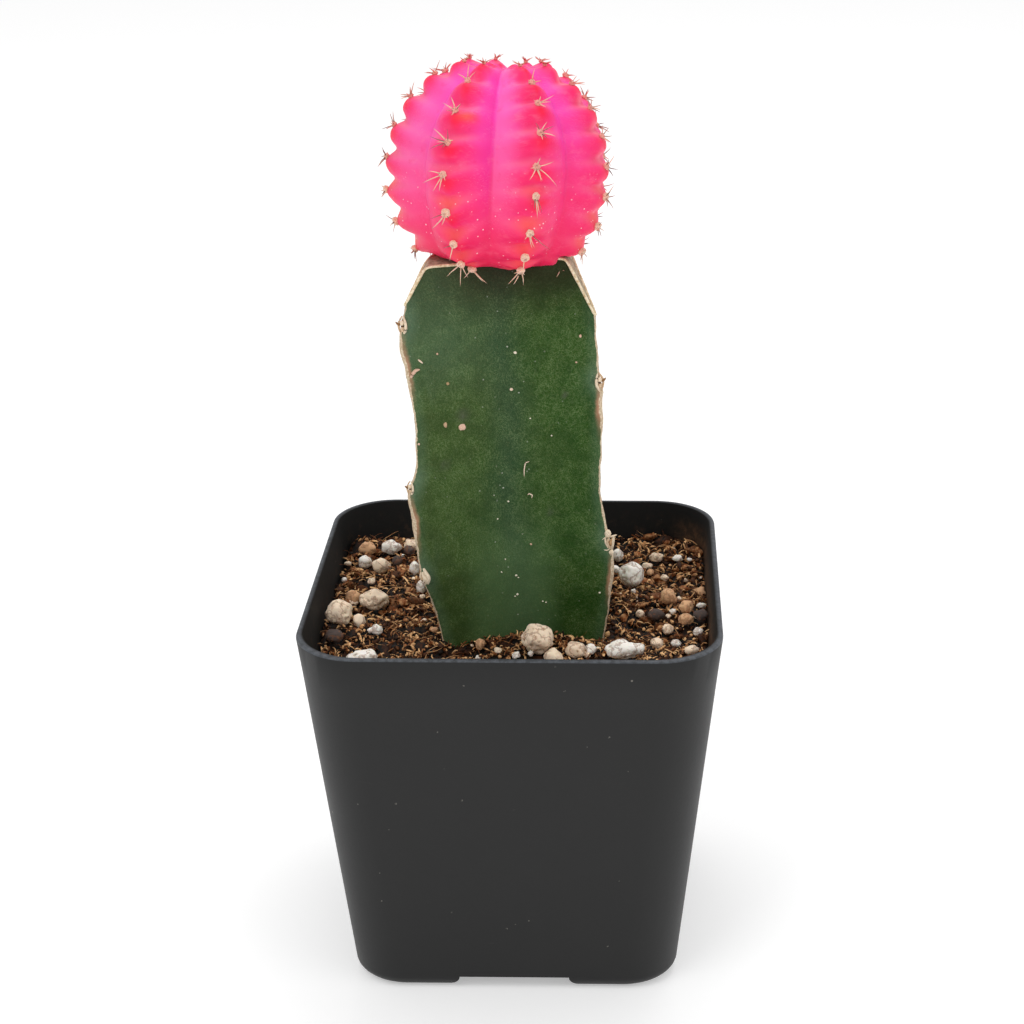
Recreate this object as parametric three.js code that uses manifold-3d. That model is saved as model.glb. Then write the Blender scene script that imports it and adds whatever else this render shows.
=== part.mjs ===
// Potted moon cactus: a pink ribbed ball grafted on a three-ribbed green stem, in a square nursery pot.
// Millimetres, +Z up. The origin is at the middle of the pot's footprint, on the surface it stands on.
// The front of the plant faces -Y.

import * as THREE from 'three';
import { mergeVertices } from 'three/addons/utils/BufferGeometryUtils.js';
import Module from 'manifold-3d';

const wasm = await Module();
wasm.setup();

// Driving dimensions: the pot
const POT = {
  rimWidth: 65,
  height: 61.5,
  baseWidth: 52.4,
  wall: 0.95,
  cornerRatio: 0.31, // corner radius over half width
  cornerSteps: 6,
  baseRound: 2.5,
  rimRound: 0.35,
  footHeight: 2.3,
  floorThickness: 1.1,
  notchTop: 17.5,
  notchBottom: 21.8,
  drainRadius: 3.4,
  drainOffset: 15.5,
};

// Driving dimensions: the potting mix and the grit on it
const MIX = {
  level: 54.9,
  clearance: 0.35,
  sides: 56,
  rings: 12,
  swell: { height: 0.8, length: 22 },
  crumble: { height: 0.55, length: 5.5 },
  // A mound against the stem's front face, the lower mix all round it, a bank along the front wall and a heap
  // in the left back corner
  hills: [
    { height: 1.9, at: [3, -14], spread: [9, 4.5] },
    { height: -1.7, at: [1.4, -12], spread: [18, 9] },
    { height: 1, at: [7, -18.5], spread: [5, 2.5] },
    { height: 1.1, at: [-28.5, 25], spread: [4, 5] },
  ],
  chips: 20,
  chipLength: [3.6, 6.6],
  chipWidth: [1.4, 2.2],
  chipThickness: 1.1,
  chipTilt: 0.35, // radians, either way
  chipField: 27, // half width of the square that chips lie in
  bareRound: 19, // no chip lies closer than this to the stem's axis
};
const GRIT = {
  clearance: 0.32,
  sunk: 0.3, // share of a stone's height that its middle lies above the mix
  large: 3.6, // stones above this size get more faces
  lumps: [0.86, 1.08],
};

// Driving dimensions: the rootstock
const STEM = {
  foot: [1.4, -2.5, 54.5], // a point on its axis, where it enters the mix
  leanDegrees: 2.4, // towards -X
  height: 61.8, // above its foot
  buried: 25,
  buriedTaper: 0.2,
  bluntEnd: 0.25,
  turnDegrees: 4,
  edgeHalf: 0.55,
  edgeDrop: 0.3, // how far a rib's edge stands out between its two corners
  shoulderDepth: 2.4,
  shoulderHalf: 1.45,
  hollow: 0.6,
  furrow: 1.0,
  rows: 24,
  areoleSize: [0.9, 0.75, 0.95],
};

// Driving dimensions: the scion
const BALL = {
  centre: [-1.5, -3.0, 128.5],
  axis: [0.06, 0.13, 1],
  radius: 16.3,
  fullness: [2.06, 2.13], // superellipse exponents of the upper and the lower half
  grooveDepth: 2.5,
  grooveSharpness: 2.1,
  grooveFade: 0.8, // how much of their depth the grooves lose under the ball
  chinInGroove: 0.1, // share of a tubercle's relief that is left in the groove
  chinFade: 0.75, // share of it that is lost under the ball
  chinFadeFrom: [46, 64], // latitudes below the middle where that begins and is complete
  creaseRise: 0.2, // how much higher a lower crease lies in the groove, in tubercle steps
  columnsPerRib: 6,
  tubercles: 8, // down each rib
  crownSteps: 2.2, // tubercle steps from the first areole up to the pole
  crownDip: 0.1, // share of the radius that the pole lies low by
  crownDegrees: 15, // how far from the pole the dip reaches
  lowestAreole: -62, // latitude, above the seat on the stem
  flatShare: 0.09, // share of its depth that the base loses under its own weight
  flatFrom: [45, 72], // latitudes below the middle where that begins and is complete
  seatGap: 0.3,
};
const WOOL = { radius: 0.68, thickness: 0.42, lift: 0.25, sizes: [0.92, 1.1] };
const SPINE = { radius: 0.19, length: [1.3, 2.7], root: 0.3, leanDegrees: [42, 68], stray: 0.3 };
const YOUNG = { step: -0.95, size: 0.75 }; // the half-grown areoles round the crown

const COLOURS = {
  pot: 0x333333,
  mix: 0x5a3a26,
  stem: 0x2f5a26,
  ball: 0xf5318c,
};

const UP = new THREE.Vector3(0, 0, 1);
const radians = THREE.MathUtils.degToRad;
const { lerp, clamp, smoothstep } = THREE.MathUtils;

// Shared helpers

function randomSource(seed) {
  let state = seed >>> 0;
  return () => {
    state = (state + 0x6d2b79f5) >>> 0;
    let t = state;
    t = Math.imul(t ^ (t >>> 15), t | 1);
    t ^= t + Math.imul(t ^ (t >>> 7), t | 61);
    return ((t ^ (t >>> 14)) >>> 0) / 4294967296;
  };
}

function reshape(geometry, place) {
  const position = geometry.attributes.position;
  const point = new THREE.Vector3();
  for (let i = 0; i < position.count; i += 1) {
    point.fromBufferAttribute(position, i);
    place(point, i);
    position.setXYZ(i, point.x, point.y, point.z);
  }
  return geometry;
}

function closed(geometry) {
  const bare = geometry.clone();
  bare.deleteAttribute('normal');
  bare.deleteAttribute('uv');
  return mergeVertices(bare, 1e-4);
}

function toSolid(geometry) {
  const merged = closed(geometry);
  const mesh = new wasm.Mesh({
    numProp: 3,
    vertProperties: new Float32Array(merged.attributes.position.array),
    triVerts: new Uint32Array(merged.index.array),
  });
  return new wasm.Manifold(mesh);
}

function toGeometry(solid) {
  const mesh = solid.getMesh();
  const geometry = new THREE.BufferGeometry();
  geometry.setAttribute('position', new THREE.BufferAttribute(new Float32Array(mesh.vertProperties), 3));
  geometry.setIndex(new THREE.BufferAttribute(new Uint32Array(mesh.triVerts), 1));
  geometry.computeVertexNormals();
  return geometry;
}

// A cut can leave a scrap, such as a spine's end, with nothing to hold it: only the main body stays.
function mainBody(solid) {
  const bodies = solid.decompose();
  return bodies.reduce((main, body) => (body.volume() > main.volume() ? body : main));
}

function piece(name, geometry, colour, roughness) {
  const material = new THREE.MeshStandardMaterial({ color: colour, roughness, metalness: 0 });
  const mesh = new THREE.Mesh(geometry, material);
  mesh.name = name;
  return mesh;
}

// Joins a value through knots [[x, y], ...] with one smooth curve.
function throughKnots(knots, x) {
  const last = knots.length - 1;
  if (x <= knots[0][0]) return knots[0][1];
  if (x >= knots[last][0]) return knots[last][1];
  const i = knots.findIndex((knot) => x <= knot[0]);
  const [x0, y0] = knots[i - 1];
  const [x1, y1] = knots[i];
  const before = knots[Math.max(i - 2, 0)];
  const after = knots[Math.min(i + 1, last)];
  const span = x1 - x0;
  const slope0 = ((y1 - before[1]) / (x1 - before[0])) * span;
  const slope1 = ((after[1] - y0) / (after[0] - x0)) * span;
  const t = (x - x0) / span;
  const value = (1 + 2 * t) * (1 - t) ** 2 * y0 + t * t * (3 - 2 * t) * y1;
  return value + t * (1 - t) ** 2 * slope0 - t * t * (1 - t) * slope1;
}

// Pot

// Distance from the centre of a unit rounded square (half width 1) to its edge, at an angle.
function squareReach(angle, ratio) {
  const c = Math.abs(Math.cos(angle));
  const s = Math.abs(Math.sin(angle));
  const flat = 1 / Math.max(c, s);
  if (Math.min(c, s) * flat <= 1 - ratio) return flat;
  const along = (1 - ratio) * (c + s);
  return along + Math.sqrt(along * along - 2 * (1 - ratio) ** 2 + ratio ** 2);
}

// Point k round the corners of a unit rounded square, with the flat sides left as single steps.
function cornerPoint(k) {
  const perCorner = POT.cornerSteps + 1;
  const corner = Math.floor(k / perCorner) % 4;
  const turn = (corner + (k % perCorner) / POT.cornerSteps) * (Math.PI / 2);
  const middle = (corner + 0.5) * (Math.PI / 2);
  const reach = Math.SQRT2 * (1 - POT.cornerRatio);
  return [
    reach * Math.cos(middle) + POT.cornerRatio * Math.cos(turn),
    reach * Math.sin(middle) + POT.cornerRatio * Math.sin(turn),
  ];
}

function potHalfWidth(z) {
  const rise = (z - POT.baseRound) / (POT.height - POT.baseRound);
  return lerp(POT.baseWidth / 2, POT.rimWidth / 2, clamp(rise, 0, 1));
}

function potProfile() {
  const { height, wall, baseRound, rimRound } = POT;
  const floorTop = POT.footHeight + POT.floorThickness;
  const outer = [];
  for (let step = 0; step <= 3; step += 1) {
    const turn = (step / 3) * (Math.PI / 2);
    const z = baseRound * (1 - Math.cos(turn));
    outer.push([potHalfWidth(baseRound) - baseRound * (1 - Math.sin(turn)), z]);
  }
  const rim = POT.rimWidth / 2;
  return [
    [0, 0],
    ...outer,
    [rim, height - rimRound],
    [rim - rimRound, height],
    [rim - wall + rimRound * 0.6, height],
    [rim - wall, height - rimRound],
    [potHalfWidth(floorTop + 1.5) - wall, floorTop + 1.5],
    [potHalfWidth(floorTop) - wall - 1.2, floorTop],
    [0, floorTop],
  ].map(([x, z]) => new THREE.Vector2(x, z));
}

// One channel right across the base, whose ends are the notches between the feet.
function footChannel() {
  const top = POT.notchTop / 2;
  const low = POT.notchBottom / 2;
  const outline = new THREE.Shape();
  outline.moveTo(-low, -1);
  outline.lineTo(-low, 0);
  outline.quadraticCurveTo(-top - 0.3, 0.25 * POT.footHeight, -top, POT.footHeight);
  outline.lineTo(top, POT.footHeight);
  outline.quadraticCurveTo(top + 0.3, 0.25 * POT.footHeight, low, 0);
  outline.lineTo(low, -1);
  outline.closePath();
  const length = POT.rimWidth;
  const settings = { depth: length, bevelEnabled: false, curveSegments: 3 };
  const channel = new THREE.ExtrudeGeometry(outline, settings);
  channel.translate(0, 0, -length / 2);
  channel.rotateX(Math.PI / 2);
  return channel;
}

function buildPot() {
  const points = 4 * (POT.cornerSteps + 1);
  const shell = new THREE.LatheGeometry(potProfile(), points);
  const profileLength = potProfile().length;
  reshape(shell, (point, i) => {
    const k = Math.floor(i / profileLength) % points;
    const half = Math.hypot(point.x, point.z);
    const [x, y] = cornerPoint(k);
    point.set(x * half, y * half, point.y);
  });
  let pot = toSolid(shell);
  const channel = footChannel();
  pot = pot.subtract(toSolid(channel));
  pot = pot.subtract(toSolid(channel.clone().rotateZ(Math.PI / 2)));
  const drains = [[0, 0], [1, 0], [-1, 0], [0, 1], [0, -1]];
  for (const [x, y] of drains) {
    const drain = new THREE.CylinderGeometry(POT.drainRadius, POT.drainRadius, 12, 12);
    drain.rotateX(Math.PI / 2);
    drain.translate(x * POT.drainOffset, y * POT.drainOffset, 0);
    pot = pot.subtract(toSolid(drain));
  }
  return pot;
}

// Rootstock: its ribs point left, right and back

// reach is the distance of the rib's edge from the stem's axis, at heights above the foot; areoles are pairs
// of height and size; bevel is the cut that takes the rib's top corner off: the level direction it faces,
// how far out it starts on the cut top, and its angle to the axis.
const STEM_RIBS = [
  {
    angle: 210 + STEM.turnDegrees,
    reach: [
      [0, 15], [7, 16.4], [13, 18], [22, 18.9], [26.5, 19.3], [30, 17.6],
      [35, 17.1], [41, 17.4], [48, 18.4], [52, 18.4], [56, 17.3], [61.5, 16.9],
    ],
    areoles: [[13, 1.2], [27.5, 0.9], [53.3, 1.1]],
    bevel: { facing: 180, start: 11, degrees: 31 },
  },
  {
    angle: 330 + STEM.turnDegrees,
    reach: [
      [0, 14.2], [6, 15.5], [13, 16.5], [20, 15.1], [25, 14.75],
      [31, 15.1], [40, 15.8], [44, 15.3], [61.5, 15.1],
    ],
    areoles: [[16, 1.3], [42.3, 1]],
    bevel: { facing: 356, start: 10.1, degrees: 24 },
  },
  {
    angle: 90 + STEM.turnDegrees,
    reach: [
      [0, 14.6], [9, 16.4], [16, 15.4], [26, 17.2],
      [32, 15.9], [43, 17.4], [50, 16.3], [61.5, 16.2],
    ],
    areoles: [[9, 1], [26, 0.9], [43, 0.9]],
    bevel: { facing: 94, start: 12, degrees: 31 },
  },
];

function stemPlacement() {
  const lean = new THREE.Matrix4().makeRotationY(-radians(STEM.leanDegrees));
  return new THREE.Matrix4().makeTranslation(...STEM.foot).multiply(lean);
}

// Point k of 24 round the stem's section at height h above its foot, offset outwards by grow.
function stemSection(k, h, grow) {
  const rib = Math.floor(k / 8);
  const role = k % 8;
  const below = clamp(-h / STEM.buried, 0, 1);
  const taper = 1 - STEM.buriedTaper * below - STEM.bluntEnd * below ** 6;
  const corner = (index) => {
    const { angle, reach } = STEM_RIBS[index % 3];
    const outward = new THREE.Vector2(Math.cos(radians(angle)), Math.sin(radians(angle)));
    const across = new THREE.Vector2(-outward.y, outward.x);
    return { outward, across, reach: throughKnots(reach, h) * taper + grow };
  };
  const at = ({ outward, across }, distance, side) =>
    outward.clone().multiplyScalar(distance).addScaledVector(across, side);
  const here = corner(rib);
  const edge = STEM.edgeHalf + grow * 0.8;
  const shoulder = STEM.shoulderHalf * taper + grow;
  const inner = here.reach - grow - STEM.shoulderDepth;
  if (role === 0) return at(here, inner, -shoulder);
  if (role === 1) return at(here, here.reach - STEM.edgeDrop, -edge);
  if (role === 2) return at(here, here.reach, 0);
  if (role === 3) return at(here, here.reach - STEM.edgeDrop, edge);
  if (role === 4) return at(here, inner, shoulder);
  const next = corner(rib + 1);
  const start = at(here, inner, shoulder);
  const end = at(next, next.reach - grow - STEM.shoulderDepth, -shoulder);
  const share = (role - 4) / 4;
  const point = start.clone().lerp(end, share);
  const inward = point.clone().negate().normalize();
  const depth = STEM.hollow * Math.sin(Math.PI * share) + (share === 0.5 ? STEM.furrow - STEM.hollow : 0);
  return point.addScaledVector(inward, depth * taper);
}

function stemSolid(grow) {
  const top = STEM.height + grow;
  const bottom = -STEM.buried - grow;
  const cylinder = new THREE.CylinderGeometry(1, 1, 1, 24, STEM.rows);
  reshape(cylinder, (point) => {
    const radius = Math.hypot(point.x, point.z);
    const turn = Math.atan2(-point.z, point.x) / (2 * Math.PI);
    const k = ((Math.round(turn * 24) % 24) + 24) % 24;
    const h = lerp(bottom, top, point.y + 0.5);
    const section = stemSection(k, h, grow);
    point.set(section.x * radius, section.y * radius, h);
  });
  return cylinder;
}

function bevelCutter(rib) {
  const size = 24;
  const block = new THREE.BoxGeometry(size, size, size);
  block.translate(size / 2, 0, 0);
  block.rotateY(-radians(rib.bevel.degrees));
  block.translate(rib.bevel.start, 0, STEM.height);
  block.rotateZ(radians(rib.bevel.facing));
  return block;
}

function buildStem() {
  let stem = toSolid(stemSolid(0));
  for (const rib of STEM_RIBS) {
    for (const [h, size] of rib.areoles) {
      const areole = new THREE.IcosahedronGeometry(size, 0);
      areole.scale(...STEM.areoleSize);
      areole.translate(throughKnots(rib.reach, h) - 0.1, 0, h);
      areole.rotateZ(radians(rib.angle));
      stem = stem.add(toSolid(areole));
    }
    stem = stem.subtract(toSolid(bevelCutter(rib)));
  }
  return toSolid(toGeometry(stem).applyMatrix4(stemPlacement()));
}

// Scion: a ball of eight ribs, each a column of chinned tubercles with an areole on top

// crest and groove are azimuths in degrees from the front (-Y) towards +X, and the groove is the one after
// the crest; first is the latitude of the highest full areole, pitch the step down to the next, and bulk how
// much fuller than the rest the rib is.
const BALL_RIBS = [
  { crest: -83, groove: -47, first: 53, pitch: 16.5, bulk: -0.2 },
  { crest: -24, groove: -1.5, first: 51, pitch: 16.4, bulk: 0 },
  { crest: 22.5, groove: 46, first: 53, pitch: 15.3, bulk: 0 },
  { crest: 69, groove: 96, first: 51, pitch: 14.8, bulk: 0.2 },
  { crest: 118, groove: 136, first: 54, pitch: 15.6, bulk: 0.2 },
  { crest: 154, groove: 175, first: 50, pitch: 16.2, bulk: 0 },
  { crest: 196, groove: 216, first: 54, pitch: 15.4, bulk: 0.1 },
  { crest: 237, groove: 256, first: 51, pitch: 16.1, bulk: 0.2 },
];

// How far the crest stands out along one tubercle, from an areole (0) down to the next (1), with a knot
// beyond each end.
const CHIN_ABOVE = [
  [-0.3, -0.7], [0, 0.3], [0.2, 0.7], [0.45, 0.4], [0.7, -0.7], [1, 0.3], [1.2, 0.7],
];
const CHIN_BELOW = [
  [-0.3, -0.65], [0, 0.6], [0.2, 0.6], [0.45, 0], [0.7, -0.65], [1, 0.6], [1.2, 0.6],
];

function ribAt(u) {
  const count = BALL_RIBS.length;
  const index = Math.floor(u) % count;
  const t = u - Math.floor(u);
  const here = BALL_RIBS[index];
  const before = BALL_RIBS[(index + count - 1) % count];
  const after = BALL_RIBS[(index + 1) % count];
  const openingGroove = index === 0 ? before.groove - 360 : before.groove;
  const rising = t < 0.5;
  const azimuth = rising
    ? lerp(openingGroove, here.crest, 2 * t)
    : lerp(here.crest, here.groove, 2 * t - 1);
  const blend = (key) =>
    rising ? lerp(before[key], here[key], 0.5 + t) : lerp(here[key], after[key], t - 0.5);
  return {
    azimuth: radians(azimuth),
    off: Math.abs(2 * t - 1), // 0 on the crest, 1 in the groove
    first: blend('first'),
    pitch: blend('pitch'),
    bulk: blend('bulk'),
  };
}

function latitudeAt(rib, step) {
  if (step < 0) return lerp(rib.first, 90, -step / BALL.crownSteps);
  return Math.max(-90, rib.first - rib.pitch * step);
}

// The ball's surface in its own frame: u runs round the ribs, step runs down the tubercles.
function ballPoint(u, step) {
  const rib = ribAt(u);
  const latitude = latitudeAt(rib, step);
  const lower = smoothstep(-latitude, -12, 18);
  const shifted = step + BALL.creaseRise * rib.off * lower;
  const within = shifted - Math.floor(shifted);
  const chin = lerp(throughKnots(CHIN_ABOVE, within), throughKnots(CHIN_BELOW, within), lower);
  const lat = radians(latitude);
  const ring = Math.max(0, Math.cos(lat));
  const under = 1 - BALL.chinFade * smoothstep(-latitude, ...BALL.chinFadeFrom);
  const relief = chin * under * lerp(1, BALL.chinInGroove, rib.off ** 1.5) * smoothstep(ring, 0, 0.5);
  const fade = 1 - BALL.grooveFade * smoothstep(-latitude, 20, 62);
  const groove = BALL.grooveDepth * fade * ring ** 0.8 * rib.off ** BALL.grooveSharpness;
  const dip = BALL.radius * BALL.crownDip * Math.exp(-(((90 - latitude) / BALL.crownDegrees) ** 2));
  const exponent = BALL.fullness[latitude > 0 ? 0 : 1];
  const full = (ring ** exponent + Math.abs(Math.sin(lat)) ** exponent) ** (-1 / exponent);
  const radius = (BALL.radius + rib.bulk) * full + relief - groove - dip;
  const height = 1 - BALL.flatShare * smoothstep(-latitude, ...BALL.flatFrom);
  return new THREE.Vector3(
    radius * ring * Math.sin(rib.azimuth),
    -radius * ring * Math.cos(rib.azimuth),
    radius * Math.sin(lat) * height,
  );
}

// The rows of points: a few over the crown, then four down each tubercle.
function ballSteps() {
  const steps = [-BALL.crownSteps, -1.75, -1.3, -0.95, -0.75, -0.5, -0.3];
  for (let k = 0; k < BALL.tubercles; k += 1) {
    steps.push(k, k + 0.2, k + 0.45, k + 0.7);
  }
  steps.push(2 * BALL.tubercles);
  return steps;
}

function ballBody() {
  const steps = ballSteps();
  const columns = BALL_RIBS.length * BALL.columnsPerRib;
  const rows = steps.length - 1;
  const sphere = new THREE.SphereGeometry(1, columns, rows);
  reshape(sphere, (point, i) => {
    const row = Math.floor(i / (columns + 1));
    const column = i % (columns + 1);
    const pole = row === 0 || row === rows;
    const u = pole ? 0 : ((column % columns) / columns) * BALL_RIBS.length;
    point.copy(ballPoint(u, steps[row]));
  });
  return sphere;
}

// The way the surface faces, evened out over one tubercle.
function surfaceNormal(u, step) {
  const right = ballPoint(u + 0.06, step).sub(ballPoint(u - 0.06 + BALL_RIBS.length, step));
  const down = ballPoint(u, step + 0.5).sub(ballPoint(u, step - 0.5));
  return down.cross(right).normalize();
}

function areolePad(size) {
  const pad = new THREE.IcosahedronGeometry(1, 0);
  pad.scale(WOOL.radius * size, WOOL.radius * size, WOOL.thickness * size);
  return pad;
}

// A three-sided spine that stands up from the origin.
function spineShape(length) {
  const spine = new THREE.ConeGeometry(SPINE.radius, length + SPINE.root, 3, 1);
  spine.rotateX(Math.PI / 2);
  return spine.translate(0, 0, (length + SPINE.root) / 2 - SPINE.root);
}

// Stands a shape on the ball at (u, step), leaning by lean towards turn, which is measured from downhill.
function placeOnBall(geometry, u, step, lean, turn) {
  const normal = surfaceNormal(u, step);
  const downhill = UP.clone().negate().projectOnPlane(normal).normalize();
  const side = new THREE.Vector3().crossVectors(normal, downhill);
  const basis = new THREE.Matrix4().makeBasis(downhill, side, normal);
  const placed = geometry.clone();
  placed.rotateY(lean);
  placed.rotateZ(turn);
  placed.applyMatrix4(basis);
  const foot = ballPoint(u, step).addScaledVector(normal, WOOL.lift);
  return placed.translate(foot.x, foot.y, foot.z);
}

// Turns round an areole, from straight down, that its spines point to.
function spineTurns(young) {
  return young ? [-0.9, 1.0] : [-1.5, 0.05, 1.45];
}

function buildBall() {
  const random = randomSource(1207);
  const draw = (low, high) => lerp(low, high, random());
  let ball = toSolid(ballBody());
  for (let index = 0; index < BALL_RIBS.length; index += 1) {
    const crest = index + 0.5;
    for (let tubercle = -1; tubercle < BALL.tubercles; tubercle += 1) {
      const young = tubercle < 0;
      const step = young ? YOUNG.step : tubercle;
      if (latitudeAt(ribAt(crest), step) < BALL.lowestAreole) continue;
      const size = young ? YOUNG.size : draw(...WOOL.sizes);
      ball = ball.add(toSolid(placeOnBall(areolePad(size), crest, step, 0, draw(0, 1))));
      for (const turn of spineTurns(young)) {
        const spine = spineShape(draw(...SPINE.length) * (young ? YOUNG.size : 1));
        const lean = radians(draw(...SPINE.leanDegrees));
        const stray = draw(-SPINE.stray, SPINE.stray);
        ball = ball.add(toSolid(placeOnBall(spine, crest, step, lean, turn + stray)));
      }
    }
  }
  const axis = new THREE.Vector3(...BALL.axis).normalize();
  const tilt = new THREE.Quaternion().setFromUnitVectors(UP, axis);
  const placement = new THREE.Matrix4().makeRotationFromQuaternion(tilt).setPosition(...BALL.centre);
  const placed = toSolid(toGeometry(ball).applyMatrix4(placement));
  const seat = toSolid(stemSolid(BALL.seatGap).applyMatrix4(stemPlacement()));
  return mainBody(placed.subtract(seat));
}

// Potting mix

function ripple(x, y, wavelength, seed) {
  const random = randomSource(seed);
  let height = 0;
  for (let wave = 0; wave < 5; wave += 1) {
    const turn = random() * Math.PI * 2;
    const phase = random() * Math.PI * 2;
    const rate = ((0.8 + 0.5 * random()) * 2 * Math.PI) / wavelength;
    height += Math.sin((x * Math.cos(turn) + y * Math.sin(turn)) * rate + phase);
  }
  return height / 3;
}

function mixHeight(x, y) {
  const { swell, crumble } = MIX;
  const hill = ({ height, at, spread }) => {
    const away = ((x - at[0]) / spread[0]) ** 2 + ((y - at[1]) / spread[1]) ** 2;
    return height * Math.exp(-away);
  };
  const broad = swell.height * ripple(x, y, swell.length, 5);
  const fine = crumble.height * ripple(x, y, crumble.length, 9);
  return MIX.level + broad + fine + MIX.hills.reduce((sum, one) => sum + hill(one), 0);
}

function mixBody() {
  const floor = POT.footHeight + POT.floorThickness + MIX.clearance;
  const rings = [[0, floor], [0.9, floor], [1, floor + 2.2], [1, 1e3]];
  for (let ring = 1; ring <= MIX.rings; ring += 1) {
    rings.push([1 - ring / MIX.rings, 1e3]);
  }
  const profile = rings.map(([share, z]) => new THREE.Vector2(share, z));
  const body = new THREE.LatheGeometry(profile, MIX.sides);
  return reshape(body, (point) => {
    const share = Math.hypot(point.x, point.z);
    const angle = Math.atan2(point.x, point.z);
    const onTop = point.y > 500;
    const level = onTop ? MIX.level : point.y;
    const half = potHalfWidth(level) - POT.wall - MIX.clearance;
    const reach = squareReach(angle, POT.cornerRatio) * half * share;
    const x = reach * Math.cos(angle);
    const y = reach * Math.sin(angle);
    point.set(x, y, onTop ? mixHeight(x, y) : level);
  });
}

// Grit: where each stone lies on the mix, its width, depth and height, and its colour
const PALE = 0xe9e2d6;
const CREAM = 0xd9c7ae;
const TAN = 0xb08a66;
const SLATE = 0x4b4248;
const STONES = [
  { at: [17.4, -17.4], size: [5.7, 3.4, 3], colour: PALE },
  { at: [4, -15.7], size: [5.1, 4.4, 4.7], colour: CREAM },
  { at: [6.5, -19.4], size: [3.4, 2.8, 2.9], colour: CREAM },
  { at: [9.9, -17.6], size: [3, 2.8, 3], colour: CREAM },
  { at: [22.5, -11.7], size: [2.3, 2.1, 1.8], colour: CREAM },
  { at: [27.9, -16.1], size: [2.3, 2, 1.8], colour: CREAM },
  { at: [25.6, -11.1], size: [1.8, 1.6, 1.4], colour: PALE },
  { at: [24.3, -6.6], size: [2.1, 2, 1.8], colour: CREAM },
  { at: [29.1, -7.3], size: [1.8, 1.6, 1.4], colour: PALE },
  { at: [27.3, -4.1], size: [2.6, 2.4, 2.1], colour: TAN },
  { at: [22.4, -2.5], size: [2.7, 2.4, 2], colour: SLATE },
  { at: [27.3, -1.3], size: [2.5, 2.3, 2.1], colour: TAN },
  { at: [24.5, 1.5], size: [2.9, 2.6, 2.9], colour: TAN },
  { at: [18.5, 10.6], size: [3.9, 3.5, 4.2], colour: PALE },
  { at: [16.1, 22.1], size: [2.1, 2, 2.4], colour: PALE },
  { at: [22.6, 21.9], size: [2.6, 1.8, 1.5], colour: CREAM },
  { at: [-26.9, 22.9], size: [3, 2.7, 2.8], colour: TAN },
  { at: [-22.9, 23.4], size: [3.5, 2.7, 2.6], colour: PALE },
  { at: [-19.7, 25.2], size: [2.7, 2.4, 2.4], colour: CREAM },
  { at: [-26.9, 18.3], size: [2.5, 2.2, 2.3], colour: PALE },
  { at: [-23.9, 16.6], size: [3, 2.7, 2.7], colour: CREAM },
  { at: [-21.5, 19.6], size: [2, 1.9, 2], colour: SLATE },
  { at: [-18.1, 14.5], size: [2.1, 2, 2.5], colour: PALE },
  { at: [-16.3, 7.1], size: [1.9, 1.9, 2.3], colour: PALE },
  { at: [-27.3, 4.5], size: [2.6, 2.4, 2.4], colour: TAN },
  { at: [-23.5, 2.5], size: [4.5, 3.4, 3.3], colour: CREAM },
  { at: [-28.2, -5.8], size: [4.1, 3.9, 3.8], colour: CREAM },
  { at: [-25, -6.2], size: [2.1, 2.2, 2.4], colour: CREAM },
  { at: [-21.8, -9.7], size: [1.9, 1.7, 1.7], colour: PALE },
  { at: [-28.3, -11.9], size: [3, 2.6, 2.3], colour: SLATE },
  { at: [-23.3, -17.8], size: [4.9, 2.8, 2.4], colour: PALE },
  { at: [-5.3, -12.6], size: [1.8, 1.7, 2], colour: TAN },
  { at: [6.6, 22.4], size: [3, 2.6, 2.4], colour: PALE },
  { at: [-6.4, 24.2], size: [2.6, 2.4, 2], colour: CREAM },
];

function stoneShape(spec, index, grow) {
  const random = randomSource(3100 + index);
  const large = Math.max(...spec.size) > GRIT.large;
  const stone = closed(new THREE.IcosahedronGeometry(1, large ? 1 : 0));
  const half = spec.size.map((length) => length / 2);
  reshape(stone, (point) => point.multiplyScalar(lerp(...GRIT.lumps, random())));
  stone.rotateX(random() * 3);
  stone.scale(...half.map((length) => length + grow));
  stone.rotateZ((random() - 0.5) * 0.8);
  const [x, y] = spec.at;
  return stone.translate(x, y, mixHeight(x, y) + GRIT.sunk * spec.size[2]);
}

function farFromGrit(x, y, margin) {
  return STONES.every(({ at, size }) => {
    const radius = Math.max(size[0], size[1]) / 2;
    return Math.hypot(x - at[0], y - at[1]) > radius + margin;
  });
}

function buildMix() {
  const random = randomSource(77);
  let mix = toSolid(mixBody());
  const draw = (low, high) => lerp(low, high, random());
  let chips = 0;
  while (chips < MIX.chips) {
    const x = draw(-MIX.chipField, MIX.chipField);
    const y = draw(-MIX.chipField, MIX.chipField);
    const length = draw(...MIX.chipLength);
    const turn = draw(0, Math.PI);
    const tilt = draw(-MIX.chipTilt, MIX.chipTilt);
    const nearStem = Math.hypot(x - STEM.foot[0], y - STEM.foot[1]) < MIX.bareRound;
    if (nearStem || !farFromGrit(x, y, length / 2 + MIX.clearance)) continue;
    const chip = new THREE.BoxGeometry(length, draw(...MIX.chipWidth), MIX.chipThickness);
    chip.rotateY(tilt);
    chip.rotateZ(turn);
    chip.translate(x, y, mixHeight(x, y) + 0.2);
    mix = mix.add(toSolid(chip));
    chips += 1;
  }
  STONES.forEach((spec, index) => {
    mix = mix.subtract(toSolid(stoneShape(spec, index, GRIT.clearance)));
  });
  const hole = toSolid(stemSolid(MIX.clearance).applyMatrix4(stemPlacement()));
  return mainBody(mix.subtract(hole));
}

// The whole plant in its pot

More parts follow.
